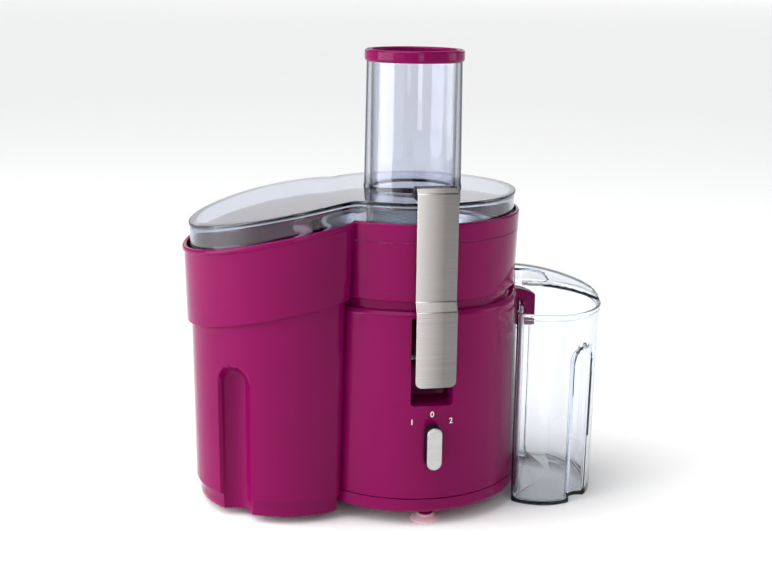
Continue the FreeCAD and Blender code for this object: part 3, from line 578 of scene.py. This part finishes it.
def sieve_metal(name, color):
    """Etched stainless sieve: a close grid of small dark holes."""
    mat, nt, shader = base_material(name, color, 0.28, metallic=1.0)
    v = coords(nt)
    cells = nt.nodes.new("ShaderNodeTexVoronoi")
    cells.inputs["Scale"].default_value = 620.0
    cells.inputs["Randomness"].default_value = 0.15
    nt.links.new(v, cells.inputs["Vector"])
    hole = remap(nt, cells.outputs["Distance"], 1.0, 0.0, 0.2, 0.34)
    nt.links.new(mix_color(nt, hole, color, (0.05, 0.05, 0.055)), shader.inputs["Base Color"])
    nt.links.new(remap(nt, hole, 0.28, 0.7, 0.0, 1.0), shader.inputs["Roughness"])
    bump(nt, shader, cells.outputs["Distance"], 0.4, 0.0004)
    return mat


MAGENTA = glossy_plastic("magenta_abs", (0.175, 0.0017, 0.065), (0.15, 0.0014, 0.056), spec=0.09)
# the strap's steel carries painted light in its colour: bright at its left edge, darker towards the right
STEEL = brushed_metal("brushed_steel", (0.33, 0.315, 0.305), (12.0, 60.0, 1900.0), rough=0.22, aniso=0.0,
                      depth=0.08, painted_sheen=((AX - 0.0174, 1.5), (AX + 0.006, 0.55)))
DIAL_STEEL = brushed_metal("dial_steel", (0.46, 0.455, 0.45), (25.0, 40.0, 1900.0), rough=0.28, depth=0.1)
SIEVE = sieve_metal("sieve_steel", (0.62, 0.63, 0.65))
DARK = fine_plastic("dark_plastic", (0.004, 0.003, 0.0035), 0.14, strength=0.03, spec=0.03)
INNER = fine_plastic("inner_plastic", (0.5, 0.49, 0.46), 0.5)
RUBBER = fine_plastic("pink_rubber", (0.86, 0.5, 0.56), 0.45, grain=500.0)
RUBBER.node_tree.nodes["Principled BSDF"].inputs["Subsurface Weight"].default_value = 0.35
RUBBER.node_tree.nodes["Principled BSDF"].inputs["Subsurface Scale"].default_value = 0.004
PLAIN = brushed_metal("machined_steel", (0.5, 0.5, 0.52), (900.0, 900.0, 60.0), rough=0.35, aniso=0.0)
IRON = fine_plastic("laminated_iron", (0.12, 0.1, 0.09), 0.5, grain=1400.0, strength=0.3)
COPPER = brushed_metal("copper_wire", (0.6, 0.28, 0.13), (1500.0, 1500.0, 40.0), rough=0.3, aniso=0.0)
SMOKED = clear_plastic("smoked_clear", (0.95, 0.963, 0.99), (0.05, 0.12, 0.36), 112.0, spec=0.34)
# the tube gets a painted near-black shade where its wall is seen edge on
TUBE = clear_plastic("smoked_tube", (0.945, 0.957, 0.985), (0.06, 0.14, 0.4), 42.0, spec=0.3,
                     rim=((0.02, 0.025, 0.045), 0.5, 0.76), clear=0.3, shine=0.03)
# the jug gets a painted grey-blue shade where its wall is seen edge on
CLEAR = clear_plastic("clear_san", (0.965, 0.975, 0.99), (0.2, 0.42, 0.68), 14.0, spec=0.45,
                      rim=((0.62, 0.68, 0.8), 0.55, 0.95))
INK, _, _ = base_material("white_ink", (0.85, 0.84, 0.84), 0.5)

CAD_LOOKS = {
    "base_screws": PLAIN, "arm_pivot_pin": PLAIN, "rotary_switch": INNER, "interlock_switch": INNER,
    "motor_bracket": PLAIN, "motor_top_bracket": PLAIN, "lower_bearing": PLAIN, "upper_bearing": PLAIN,
    "motor_stator": IRON, "brush_holder": INNER, "shaft_seal": DARK, "motor_shaft": PLAIN,
    "motor_armature": IRON, "commutator": COPPER, "cooling_fan": INNER, "drive_coupling": DARK,
    "dial_spindle": DARK,
}
for node, look in CAD_LOOKS.items():
    mesh = frame["nodes"][node].data
    mesh.materials.clear()
    mesh.materials.append(look)


# ------------------------------------------------------------------ motor base
# The motor housing's wall narrows from foot to shoulder: (radius, height) of both ends.
WALL_FOOT, WALL_TOP = (98.6, 26.0), (95.6, 187.4)


def make_housing():
    # the second point only adds a ring of corners level with the foot of the niche
    shell = lathe("housing_shell", rounded([
        (*WALL_FOOT, 0.5), (97.104, 106.5, 0), (*WALL_TOP, 2.6), (92.6, 190.5, 1.2), (88.0, 190.5, 0.8),
        (88.0, 203.4, 0.3), (85.5, 203.4, 0.3), (85.5, 190.5, 0.6), (14.2, 190.5, 0.4), (14.2, 188.0, 0.4),
        (92.8, 185.4, 1.0), (96.1, 26.0, 0.4)], steps=4), seg=288)
    front = [(95.0 * math.sin(t), -95.0 * math.cos(t)) for t in
             [lerp(-0.2046, 0.2046, k / 12) for k in range(13)]]
    liner = prism("niche_liner", front + [(20.9, -60.5), (-20.9, -60.5)], "z", 106.5, 188.6)
    carve(shell, [liner], operation="UNION")
    niche = prism("niche_cut", rounded(rect(-18.4, 109.0, 18.4, 186.0), 3.0, 5), "y", -130.0, -63.0)
    bush = prism("bush_cut", circle(6.05, 48, (0, 74.7)), "y", -110.0, -85.0)
    gland = prism("gland_cut", circle(8.05, 48, (0, 46.0)), "y", 80.0, 110.0)
    slot = prism("spout_slot", rect(-9.0, 152.0, 9.0, 206.0), "x", 79.5, 110.0)
    return carve(shell, [niche, bush, gland, slot], bevel=0.7)


piece(make_housing(), "base", MAGENTA, ["motor_housing"])

skirt = lathe("base_skirt", rounded([
    (0, 13.0, 0), (97.0, 13.0, 2.2), (98.9, 16.5, 1.5), (98.7, 25.3, 0.5), (96.0, 25.3, 0.3),
    (95.9, 30.0, 0.3), (93.6, 30.0, 0.3), (93.6, 15.6, 1.5), (0, 15.6, 0)], steps=4), seg=256)
ribs = []
for k in range(4):
    a = math.radians(45 + 90 * k)
    ribs.append(lathe("rib", rounded([(0, 15.4, 0), (5.4, 15.4, 0.6), (4.2, 43.8, 0.5), (0, 43.8, 0)]), 32,
                      (52 * math.cos(a), 52 * math.sin(a))))
piece(join("base_skirt", [skirt] + ribs), "base", MAGENTA, ["base_plate"])

cups, stems = [], []
for k in range(4):
    a = math.radians(90 * k)
    at = (79.0 * math.cos(a), 79.0 * math.sin(a))
    cups.append(lathe("cup", rounded([
        (0, 2.6, 0), (9.0, 1.8, 2.0), (12.6, 0.0, 0.2), (13.4, 0.1, 0.2), (13.5, 0.7, 0.3), (10.6, 2.3, 2.5),
        (7.6, 3.4, 1.2), (6.2, 5.0, 0.5), (0, 5.0, 0)]), 64, at))
    stems.append(lathe("stem", rounded([
        (0, 4.9, 0), (6.0, 4.9, 0.5), (6.9, 6.4, 0.8), (5.4, 7.6, 0.8), (5.4, 10.2, 0.8), (7.0, 11.4, 0.8),
        (7.0, 13.0, 0.2), (0, 13.0, 0)]), 48, at))
piece(join("suction_feet", cups), "base", RUBBER, ["suction_cups"])
piece(join("foot_posts", stems), "base", MAGENTA, ["foot_stems"])

gland_ring = prism("gland_ring", circle(11.0, 72, (0, 46.0)), "y", 96.8, 100.9, bevel=0.9)
gland_tube = prism("gland_tube", circle(8.0, 72, (0, 46.0)), "y", 84.2, 98.5)
gland = carve(gland_ring, [gland_tube], operation="UNION")
carve(gland, [prism("gland_bore", circle(4.0, 48, (0, 46.0)), "y", 80.0, 110.0)], bevel=0.4)
gland.name = "cord_grommet"
piece(gland, "base", DARK, ["cord_gland"])


# ------------------------------------------------------------------ bowl
def make_bowl():
    shell = lathe("bowl_shell", rounded([
        (92.9, 199.0, 1.0), (94.5, 248.7, 0.35), (92.1, 248.7, 0.2), (90.5, 206.2, 3.0), (28.0, 206.0, 1.5),
        (28.0, 210.0, 0.8), (25.5, 210.0, 0.8), (25.5, 203.6, 0.4), (90.3, 203.6, 0.5), (90.3, 199.0, 0.5)],
        steps=4), seg=288)
    arc = [lerp(-0.60, 0.60, k / 24) for k in range(25)]
    lip_plan = [(-105.9 * math.cos(t), 105.9 * math.sin(t)) for t in arc]
    lip_plan += [(-91.6 * math.cos(t), 91.6 * math.sin(t)) for t in reversed(arc)]
    lip = prism("outlet_lip", lip_plan, "z", 243.5, 246.0)
    top = [(95.5 + 40.0 * math.sin(t), 147.0 + 40.0 * math.cos(t)) for t in
           [lerp(0.03, 0.512, k / 12) for k in range(13)]]
    spout = prism("spout", [(80.0, 153.0), (80.0, 204.4), (95.5, 204.4), (95.5, 187.0)] + top
                  + [(115.5, 180.4), (115.5, 153.0)], "y", -8.5, 8.5, bevel=0.9)
    carve(shell, [lip, spout], operation="UNION")
    window = prism("window", rect(-58.0, 246.0, 58.0, 256.0), "x", -130.0, -40.0)
    well = prism("well", rect(-6.2, 155.5, 6.2, 207.0), "x", 82.5, 93.0)
    channel = prism("channel", rect(-6.2, 155.5, 6.2, 178.5), "x", 90.5, 113.0)
    mouth = prism("mouth", rect(-6.2, 150.0, 6.2, 158.0), "x", 102.5, 113.0)
    carve(well, [channel, mouth], operation="UNION")
    return carve(shell, [window, well], bevel=0.5)


piece(make_bowl(), "base", MAGENTA, ["juice_bowl"])


def make_collar():
    shell = lathe("bowl_rim", rounded([
        (94.7, 249.0, 0.4), (95.1, 263.8, 0.9), (94.1, 265.0, 0.7), (92.1, 265.0, 0.6), (92.1, 249.0, 0.2)],
        steps=4), seg=288)
    window = prism("rim_window", rect(-58.0, 240.0, 58.0, 270.0), "x", -130.0, -40.0)
    lobe = prism("rim_lobe", oval(BIN_X, 86.2, 82.7, 160), "z", 258.0, 275.0)
    return carve(shell, [window, lobe], bevel=0.4)


piece(make_collar(), "base", MAGENTA, ["bowl_collar"])


# ------------------------------------------------------------------ pulp container
def gap_radius(z):
    """Radius of the hollow side that wraps round the base and bowl."""
    return lerp(100.2, 95.9, z / 275.0)


def make_container():
    # Grip grooves (axis point, outward direction) and where along the oval the points are set closer.
    grips = [(-166.8, -62.9, -0.6, -0.8), (-166.8, 62.9, -0.6, 0.8)]
    dense = [(-0.87, 0.27), (0.87, 0.27)]
    wall = 2.4
    rings = []

    def ring(a, b, height, inside=0.0, lip=False):
        """One ring of the skin: oval half axes, height(x), and how far the hollow side is drawn in."""
        out = []
        cut_r = gap_radius(height(BIN_X)) + inside
        for x, y, on_arc in lobe_outline(BIN_X, a, b, cut_r, 3.0 if inside else 4.0, dense):
            z = height(x)
            if on_arc > 0 and z > 240.0:
                z = 240.0
            if not lip:
                x, y = pressed(x, y, z, grips, 40.0, 16.0 + (wall if inside else 0.0), 124.0)
            out.append((x, y, z))
        rings.append(out)

    def level(z):
        return lambda x: z

    def arch(rise):
        return lambda x: arch_z(x, rise)

    def between(low, high, t):
        return lambda x: lerp(low(x), high(x), t)

    for a, b, z in ((76.4, 73.5, 7.0), (78.4, 75.5, 7.1), (78.9, 76.0, 7.7), (79.2, 76.3, 12.0),
                    (79.9, 77.0, 20.4), (80.4, 77.5, 21.2), (81.6, 78.7, 21.4), (82.3, 79.4, 21.8),
                    (82.6, 79.7, 22.8)):
        ring(a, b, level(z))
    for k in range(76):
        t = (k / 75) ** 1.12
        ring(lerp(82.62, 84.2, t), lerp(79.72, 80.9, t), between(level(24.0), arch(-66.4), t))
    for a, b, rise in ((84.25, 80.95, -65.9), (84.7, 81.4, -65.3), (87.3, 84.0, -65.0), (87.9, 84.6, -64.7),
                       (88.1, 84.8, -63.9)):
        ring(a, b, arch(rise))
    for k in range(14):
        t = k / 13
        ring(lerp(88.15, 89.5, t), lerp(84.85, 86.1, t), between(arch(-63.0), arch(-5.2), t))
    for a, b, rise, inside in (
            (89.55, 86.15, -4.7, 0.0), (89.9, 86.5, -4.2, 0.0), (90.7, 87.2, -3.9, 0.0),
            (91.0, 87.5, -3.4, 0.0), (91.05, 87.55, -2.2, 0.0), (90.9, 87.4, -0.9, 0.0),
            (90.2, 86.7, -0.15, 0.0), (89.3, 85.8, 0.0, 0.0), (88.2, 84.7, -0.1, 1.6),
            (87.4, 83.9, -0.7, 2.3), (87.1, 83.6, -1.8, 2.5)):
        ring(a, b, arch(rise), inside, lip=True)
    for k in range(8):
        t = k / 7
        ring(lerp(87.0, 85.7, t), lerp(83.5, 82.3, t), between(arch(-4.0), arch(-61.5), t), 2.5)
    ring(84.6, 81.2, arch(-62.4), 2.5)
    ring(82.0, 78.7, arch(-62.8), 2.5)
    for k in range(40):
        t = (k / 39) ** 0.9
        ring(lerp(81.6, 77.0, t), lerp(78.3, 74.1, t), between(level(14.0), arch(-64.0), 1 - t), 2.5)
    ring(75.5, 72.6, level(11.0), 2.8)
    ring(73.5, 70.6, level(10.0), 3.5)
    return cup_mesh("pulp_bin", rings, -146.0, 7.4, 10.0)


piece(make_container(), "container", MAGENTA,
      ["pulp_container", "container_foot", "container_band"])


# ------------------------------------------------------------------ lid, chute and ring
def lid_top(x):
    """Height of the lid's top skin: level over the bowl, following the rim over the container."""
    a, b = 282.0, arch_z(x, 18.0)
    blend = 3.0
    h = max(blend - abs(a - b), 0.0) / blend
    return min(a, b) - h * h * blend * 0.25


def lid_low(x):
    """Height of the lid's lower edge."""
    return min(262.0, arch_z(x, -3.0))


def make_lid():
    rings = []

    def ring(off, height):
        rings.append([(x, y, height(x)) for x, y in lid_outline(off)])

    def low(dz):
        return lambda x: lid_low(x) + dz

    def top(dz):
        return lambda x: lid_top(x) + dz

    for off, dz in ((-0.5, 0.0), (-0.1, 0.35), (0.0, 1.2)):
        ring(off, low(dz))
    for k in range(1, 6):
        ring(0.0, lambda x: lerp(lid_low(x) + 1.2, lid_top(x) - 4.2, k / 6))
    for off, dz in ((0.0, -3.6), (0.15, -3.1), (0.75, -2.8), (0.95, -2.2), (0.95, -1.3), (0.7, -0.55),
                    (0.2, -0.12), (-0.5, 0.0), (-1.4, 0.0)):
        ring(off, top(dz))
    outline = lid_outline(-1.4)

    def inward(plan, t):
        """The outline moved a share of the way to the hole for the feed tube."""
        out = []
        for x, y in plan:
            r = math.hypot(x, y)
            out.append((lerp(x, x / r * 40.75, t), lerp(y, y / r * 40.75, t)))
        return out

    for k in range(1, 37):
        t = k / 36
        rings.append([(x, y, lid_top(x)) for x, y in inward(outline, t)])
    inner = lid_outline(-3.6)
    for k in range(36, 0, -1):
        t = k / 36
        rings.append([(x, y, lid_top(x) - 2.4) for x, y in inward(inner, t)])
    for off, dz in ((-3.5, -2.45), (-2.7, -2.9), (-2.4, -4.0)):
        ring(off, top(dz))
    for k in range(1, 6):
        ring(-2.4, lambda x: lerp(lid_top(x) - 4.0, lid_low(x) + 1.0, k / 6))
    for off, dz in ((-2.4, 0.8), (-2.1, 0.2), (-1.6, 0.0)):
        ring(off, low(dz))
    return rings_mesh("lid_shell", rings)


piece(make_lid(), "lid", SMOKED, ["lid_cover"])

chute = lathe("feed_tube", rounded([
    (38.0, 230.0, 0.8), (40.5, 230.0, 0.8), (40.5, 279.4, 0.1), (40.5, 282.2, 0.1), (43.6, 282.2, 0.3),
    (43.4, 283.3, 0.5), (43.0, 285.2, 0.8), (41.7, 391.9, 0.4), (38.0, 391.9, 0.4)],
    steps=4), seg=224)
piece(chute, "lid", TUBE, ["feed_chute"])

tube_end = lathe("tube_ring", rounded([
    (38.4, 392.0, 0.4), (42.9, 392.0, 0.8), (43.6, 394.0, 1.0), (43.55, 400.6, 1.4), (42.0, 402.0, 1.1),
    (39.4, 402.0, 0.9), (38.4, 400.6, 0.8)], steps=5), seg=224)
piece(tube_end, "lid", MAGENTA, ["chute_ring"])


# ------------------------------------------------------------------ locking arm
def strap_path():
    """Centre of the strap's front face from foot to head: (Y, height)."""
    return rounded([(-109.0, 129.0, 0), (-109.0, 194.0, 3.0), (-104.0, 202.0, 3.0), (-104.0, 292.0, 4.0),
                    (-101.9, 296.4, 0)], steps=8, closed=False, keep=0.4)


def make_strap():
    path = strap_path()
    fine = [path[0]]
    for a, b in zip(path, path[1:]):
        length = math.dist(a, b)
        parts = max(1, int(length / 3.0))
        for k in range(1, parts + 1):
            fine.append((lerp(a[0], b[0], k / parts), lerp(a[1], b[1], k / parts)))
    start = [fine[0]]
    for step in (0.25, 0.6, 1.1, 1.8, 2.8, 4.0):
        start.append((fine[0][0], fine[0][1] + step))
    fine = start + [p for p in fine[1:] if p[1] > fine[0][1] + 4.2]
    thick, half, corner, edge, bow = 2.2, 17.4, 5.0, 0.55, 0.45
    rings = []
    length = 0.0
    for i, p in enumerate(fine):
        if i:
            length += math.dist(p, fine[i - 1])
        a = fine[max(0, i - 1)]
        b = fine[min(len(fine) - 1, i + 1)]
        ty, tz = b[0] - a[0], b[1] - a[1]
        size = math.hypot(ty, tz)
        ny, nz = tz / size, -ty / size
        if length < corner:
            w = half - corner + math.sqrt(max(0.0, corner ** 2 - (corner - length) ** 2))
        else:
            w = half
        front = [(lerp(-w, w, k / 12), 0, 0) for k in range(1, 12)]
        section = rounded([(-w, 0, edge)] + front + [(w, 0, edge), (w, thick, edge), (-w, thick, edge)],
                          steps=3, keep=0.3)
        # the front face bows outward a little across its width
        crown = [(u, v + bow * (u / half) ** 2 * (1.0 if v < thick * 0.6 else 0.0)) for u, v in section]
        rings.append([(u, p[0] + ny * v, p[1] + nz * v) for u, v in crown])
    return rings_mesh("strap_skin", rings, wrap=False, cap_ends=True)


piece(make_strap(), "arm", STEEL, ["arm_strap"])


def make_core():
    outline = rounded([
        (-101.6, 294.0, 1.2), (-101.7, 202.8, 2.0), (-106.7, 194.4, 2.0), (-106.7, 132.2, 1.0),
        (-102.8, 132.2, 1.2), (-89.0, 144.0, 2.0), (-89.0, 156.0, 3.0), (-100.6, 178.0, 4.0),
        (-98.6, 204.0, 3.0), (-97.6, 279.5, 3.0), (-95.6, 286.5, 2.4), (-88.0, 286.5, 1.0),
        (-88.0, 294.0, 2.0)], steps=5)
    core = prism("core", outline, "x", -15.4, 15.4)
    boss = prism("boss", circle(7.0, 56, (-86.0, 150.0)), "x", -15.4, 15.4)
    head = prism("head", rounded([(-101.7, 285.5, 1.2), (-80.0, 285.5, 1.0), (-80.0, 291.5, 3.0),
                                  (-86.5, 296.2, 5.0), (-101.7, 296.2, 1.6)], steps=5), "x", -17.4, 17.4,
                 bevel=1.1)
    carve(core, [boss, head], operation="UNION")
    bore = prism("core_bore", circle(2.6, 40, (-86.0, 150.0)), "x", -30.0, 30.0)
    carve(core, [bore], bevel=0.6)
    core.name = "arm_backing"
    return core


piece(make_core(), "arm", DARK, ["arm_core"])


# ------------------------------------------------------------------ dial
def slot_rings(name, levels, steps=24):
    """A rounded-end knob along Y from (inset, Y) levels, back to front."""
    rings = []
    for inset, y in levels:
        rings.append([(x, y, 74.7 + z) for x, z in stadium(7.0 - inset, 19.3 - inset, steps)])
    return rings_mesh(name, rings, wrap=False, cap_ends=True)


knob = slot_rings("dial_grip", [(0.5, -98.6), (0.15, -98.8), (0.0, -99.3), (0.25, -104.0), (0.45, -108.4),
                                (0.7, -108.78)])
piece(knob, "dial", DARK, ["dial_knob"])
face = slot_rings("dial_cap", [(0.75, -108.8), (0.55, -109.0), (0.55, -109.3), (0.7, -109.6), (1.0, -109.85),
                               (1.5, -109.98), (2.4, -110.0)])
piece(face, "dial", DIAL_STEEL, ["dial_face"])


# ------------------------------------------------------------------ sieve, grater and nut
basket = lathe("sieve_cone", rounded([
    (22.0, 214.0, 0.1), (60.0, 214.0, 2.2), (77.0, 247.0, 0.1), (76.2, 247.0, 0.1), (59.5, 214.8, 2.0),
    (22.0, 214.8, 0.1)], steps=4), seg=192)
piece(basket, "rotor", SIEVE, ["filter_basket"])
hoop = lathe("sieve_hoop", rounded([
    (77.05, 245.0, 0.3), (80.0, 247.0, 0.8), (81.0, 250.9, 0.9), (75.9, 250.9, 0.7), (75.9, 247.05, 0.2),
    (77.05, 247.05, 0.1)], steps=4), seg=192)
piece(hoop, "rotor", PLAIN, ["basket_rim"])


def make_grater():
    plate = lathe("plate", rounded([(6.0, 214.85, 0.1), (54.0, 214.85, 0.2), (54.0, 215.6, 0.3),
                                    (6.0, 215.6, 0.2)], steps=2), seg=128)
    verts, faces = [], []
    for index, radius in enumerate((14.0, 19.0, 24.0, 29.0, 34.0, 39.0, 44.0, 49.0)):
        count = 8 + 5 * index
        for k in range(count):
            a = 2 * math.pi * k / count + 0.23 * index
            c, s = math.cos(a), math.sin(a)
            b = len(verts)
            for u, v, h in ((-1.1, -0.7, 215.5), (1.1, -0.7, 215.5), (1.1, 0.9, 215.5), (-1.1, 0.9, 215.5),
                            (-0.35, -0.6, 217.7), (0.35, -0.6, 217.7)):
                verts.append((radius * c + u * c - v * s, radius * s + u * s + v * c, h))
            faces += [(b, b + 1, b + 5, b + 4), (b + 1, b + 2, b + 5), (b + 2, b + 3, b + 4, b + 5),
                      (b + 3, b, b + 4), (b, b + 3, b + 2, b + 1)]
    return join("grater_teeth", [plate, new_object("teeth", verts, faces, 30.0)])


piece(make_grater(), "rotor", PLAIN, ["grater_disc"])
nut = lathe("disc_cap", rounded([(0, 215.7, 0), (9.0, 215.7, 0.3), (7.2, 218.6, 1.2), (3.4, 220.4, 1.4),
                                 (0, 220.5, 0)], steps=4), seg=64)
piece(nut, "rotor", PLAIN, ["disc_nut"])


# ------------------------------------------------------------------ juice jug and guard
def make_jug():
    # Grip grooves and closer-set points, as in the container.
    grips = [(149.0, -64.0, 0.6, -0.8), (149.0, 64.0, 0.6, 0.8)]
    dense = [(-1.02, 0.26), (1.02, 0.26)]
    wall = 2.4
    rings = []

    def ring(off, z, inside=0.0, lip=False):
        """One ring of the skin; the oval widens a little towards the top."""
        t = min(1.0, max(0.0, z / 178.0))
        a, b = lerp(55.2, 56.5, t) + off, lerp(71.8, 72.9, t) + off
        out = []
        for x, y, _ in lobe_outline(JUG_X, a, b, 100.5 + inside, 3.8 if inside else 5.0, dense, 46):
            if not lip:
                x, y = pressed(x, y, z, grips, 30.0, 13.8 + (wall if inside else 0.0), 131.0)
            out.append((x, y, z))
        rings.append(out)

    for off, z in ((-4.0, 0.15), (-2.4, 0.0), (-0.9, 0.35), (-0.2, 1.1), (0.0, 2.4)):
        ring(off, z)
    for k in range(62):
        ring(0.0, lerp(4.0, 171.0, k / 61))
    ring(0.1, 172.3)
    for off, z, inside in ((0.8, 172.8, 0.0), (1.25, 173.4, 0.0), (1.3, 174.6, 0.0), (1.3, 176.6, 0.0),
                           (1.0, 177.6, 0.0), (0.4, 178.0, 0.0), (-0.9, 178.0, 0.9), (-1.5, 177.6, 1.6),
                           (-1.7, 176.2, 2.2), (-2.2, 173.6, 2.4)):
        ring(off, z, inside, lip=True)
    for k in range(60):
        ring(-wall, lerp(171.0, 6.5, k / 59), wall)
    for off, z, inside in ((-2.9, 4.6, 2.8), (-4.2, 3.4, 4.0), (-6.0, 3.0, 6.0)):
        ring(off, z, inside)
    jug = cup_mesh("jug_shell", rings, 142.0, 0.5, 3.0)
    notch = prism("jug_notch", rounded([(-10.5, 148.0, 3.0), (10.5, 148.0, 3.0), (10.5, 190.0, 0),
                                        (-10.5, 190.0, 0)]), "x", 92.0, 112.0)
    return carve(jug, [notch], angle=42.0)


piece(make_jug(), "jug", CLEAR, ["juice_jug"])


def make_guard():
    """Hood over the back half of the jug: a shallow dome with a side wall, open to the front."""
    def dome(radius, top):
        profile = [(0, 150.0), (112.0, 150.0)]
        for k in range(25):
            r = 112.0 * (1 - k / 24)
            profile.append((r, top - radius + math.sqrt(radius * radius - r * r)))
        return lathe("dome", profile, 192, (96.0, 24.0))

    def column(name, inset, low):
        return prism(name, oval(JUG_X, 56.6 - inset, 73.0 - inset, 256), "z", low, 230.0)

    hood = carve(column("hood", 0.0, 178.05), [dome(190.0, 201.0)], operation="INTERSECT")
    room = carve(column("hood_room", 2.2, 175.0), [dome(187.8, 198.8)], operation="INTERSECT")
    front = prism("hood_front", rect(60.0, -100.0, 200.0, -22.0), "z", 170.0, 230.0)
    notch = prism("hood_notch", rounded([(60.0, -16.0, 0), (126.0, -16.0, 9.0), (126.0, 16.0, 9.0),
                                         (60.0, 16.0, 0)]), "z", 170.0, 230.0)
    gap = prism("hood_gap", circle(100.6, 256), "z", 170.0, 230.0)
    return carve(hood, [room, front, notch, gap], bevel=0.6)


guard = make_guard()
guard.name = "splash_hood"
piece(guard, "jug", CLEAR, ["jug_guard"])


# ------------------------------------------------------------------ dial figures
def figure(text, x, z, size):
    """A printed figure laid on the housing wall, centred at (x, z)."""
    curve = bpy.data.curves.new("figure_" + text, "FONT")
    curve.body = text
    curve.size = size * MM
    curve.align_x = "CENTER"
    curve.align_y = "CENTER"
    curve.extrude = 0.00003
    curve.resolution_u = 4
    obj = bpy.data.objects.new("figure_" + text, curve)
    bpy.context.scene.collection.objects.link(obj)
    bpy.context.view_layer.update()
    mesh = bpy.data.meshes.new_from_object(obj)
    bpy.data.objects.remove(obj)
    obj = bpy.data.objects.new("dial_figure_" + text, mesh)
    bpy.context.scene.collection.objects.link(obj)
    for v in mesh.vertices:
        px, pz = v.co.x / MM + x, v.co.y / MM + z
        wall = lerp(WALL_FOOT[0], WALL_TOP[0], (pz - WALL_FOOT[1]) / (WALL_TOP[1] - WALL_FOOT[1]))
        y = -math.sqrt(wall ** 2 - px ** 2) - 0.3 - v.co.z / MM
        v.co = Vector((px * MM + AX, y * MM + AY, pz * MM))
    piece(obj, "base", INK)


figure("1", -17.2, 95.0, 7.0)
figure("0", 0.0, 101.6, 7.0)
figure("2", 16.8, 94.9, 7.0)


# ------------------------------------------------------------------ stage, light, camera
def stage():
    far = 60000.0
    floor = new_object("floor", [(x, y, 0) for x, y in rect(-far, -far, far, far)], [(0, 1, 2, 3)])
    mat, nt, shader = base_material("floor_white", (0.9, 0.9, 0.9), 0.6, spec=0.2)
    nt.links.new(remap(nt, noise(nt, coords(nt), 3.0), 0.55, 0.65), shader.inputs["Roughness"])
    floor.data.materials.append(mat)

    world = bpy.data.worlds.new("studio")
    bpy.context.scene.world = world
    world.use_nodes = True
    world.node_tree.nodes["Background"].inputs["Color"].default_value = (0.97, 0.98, 1.0, 1)
    world.node_tree.nodes["Background"].inputs["Strength"].default_value = 0.28

    def lamp(name, kind, at, target, power):
        light = bpy.data.lights.new(name, kind)
        light.energy = power
        obj = bpy.data.objects.new(name, light)
        bpy.context.scene.collection.objects.link(obj)
        obj.location = at
        obj.rotation_euler = (Vector(target) - Vector(at)).to_track_quat("-Z", "Y").to_euler()
        return light

    def softbox(name, at, target, wide, tall, power):
        light = lamp(name, "AREA", at, target, power)
        light.shape = "RECTANGLE"
        light.size = wide
        light.size_y = tall

    sky = lamp("overhead", "SUN", (-1.2, -0.1, 3.0), (0, 0, 0), 2.2)
    sky.angle = math.radians(55)
    softbox("far_left", (-1.8, -0.25, 0.7), (0, 0, 0.25), 1.5, 1.6, 50)
    softbox("front_left", (-1.75, -1.65, 0.8), (0, 0, 0.25), 1.0, 1.6, 5)
    softbox("wall_right", (1.75, -0.2, 0.75), (0, 0, 0.25), 0.8, 1.4, 10)
    softbox("front_top", (0.6, -1.75, 2.2), (0, 0, 0.2), 0.9, 0.9, 4.5)
    softbox("front_strip", (0.1, -2.1, 0.85), (0, 0, 0.25), 0.42, 1.5, 9)
    softbox("behind", (7.7, 40.0, 13.3), (0, 0, 0.25), 46.7, 15.3, 2110)


stage()

# The photo's camera: its place from the spin axis (m), lens (mm), heading, downward pitch and roll (degrees).
EYE = Vector((AX - 0.2388, AY - 1.1127, 0.4629))
LENS, HEADING, PITCH, ROLL = 60.33, 11.0, 13.62, 0.81


def camera():
    data = bpy.data.cameras.new("camera")
    data.sensor_width = 36.0
    data.lens = LENS
    data.clip_start = 0.02
    cam = bpy.data.objects.new("camera", data)
    bpy.context.scene.collection.objects.link(cam)
    heading, pitch = math.radians(HEADING), math.radians(PITCH)
    ahead = math.cos(pitch)
    look = Vector((math.sin(heading) * ahead, math.cos(heading) * ahead, -math.sin(pitch)))
    turn = look.to_track_quat("-Z", "Y").to_matrix()
    cam.location = EYE
    cam.rotation_euler = (turn @ Matrix.Rotation(math.radians(ROLL), 3, "Z")).to_euler()
    bpy.context.scene.camera = cam


camera()
bpy.context.scene.view_settings.view_transform = "Standard"
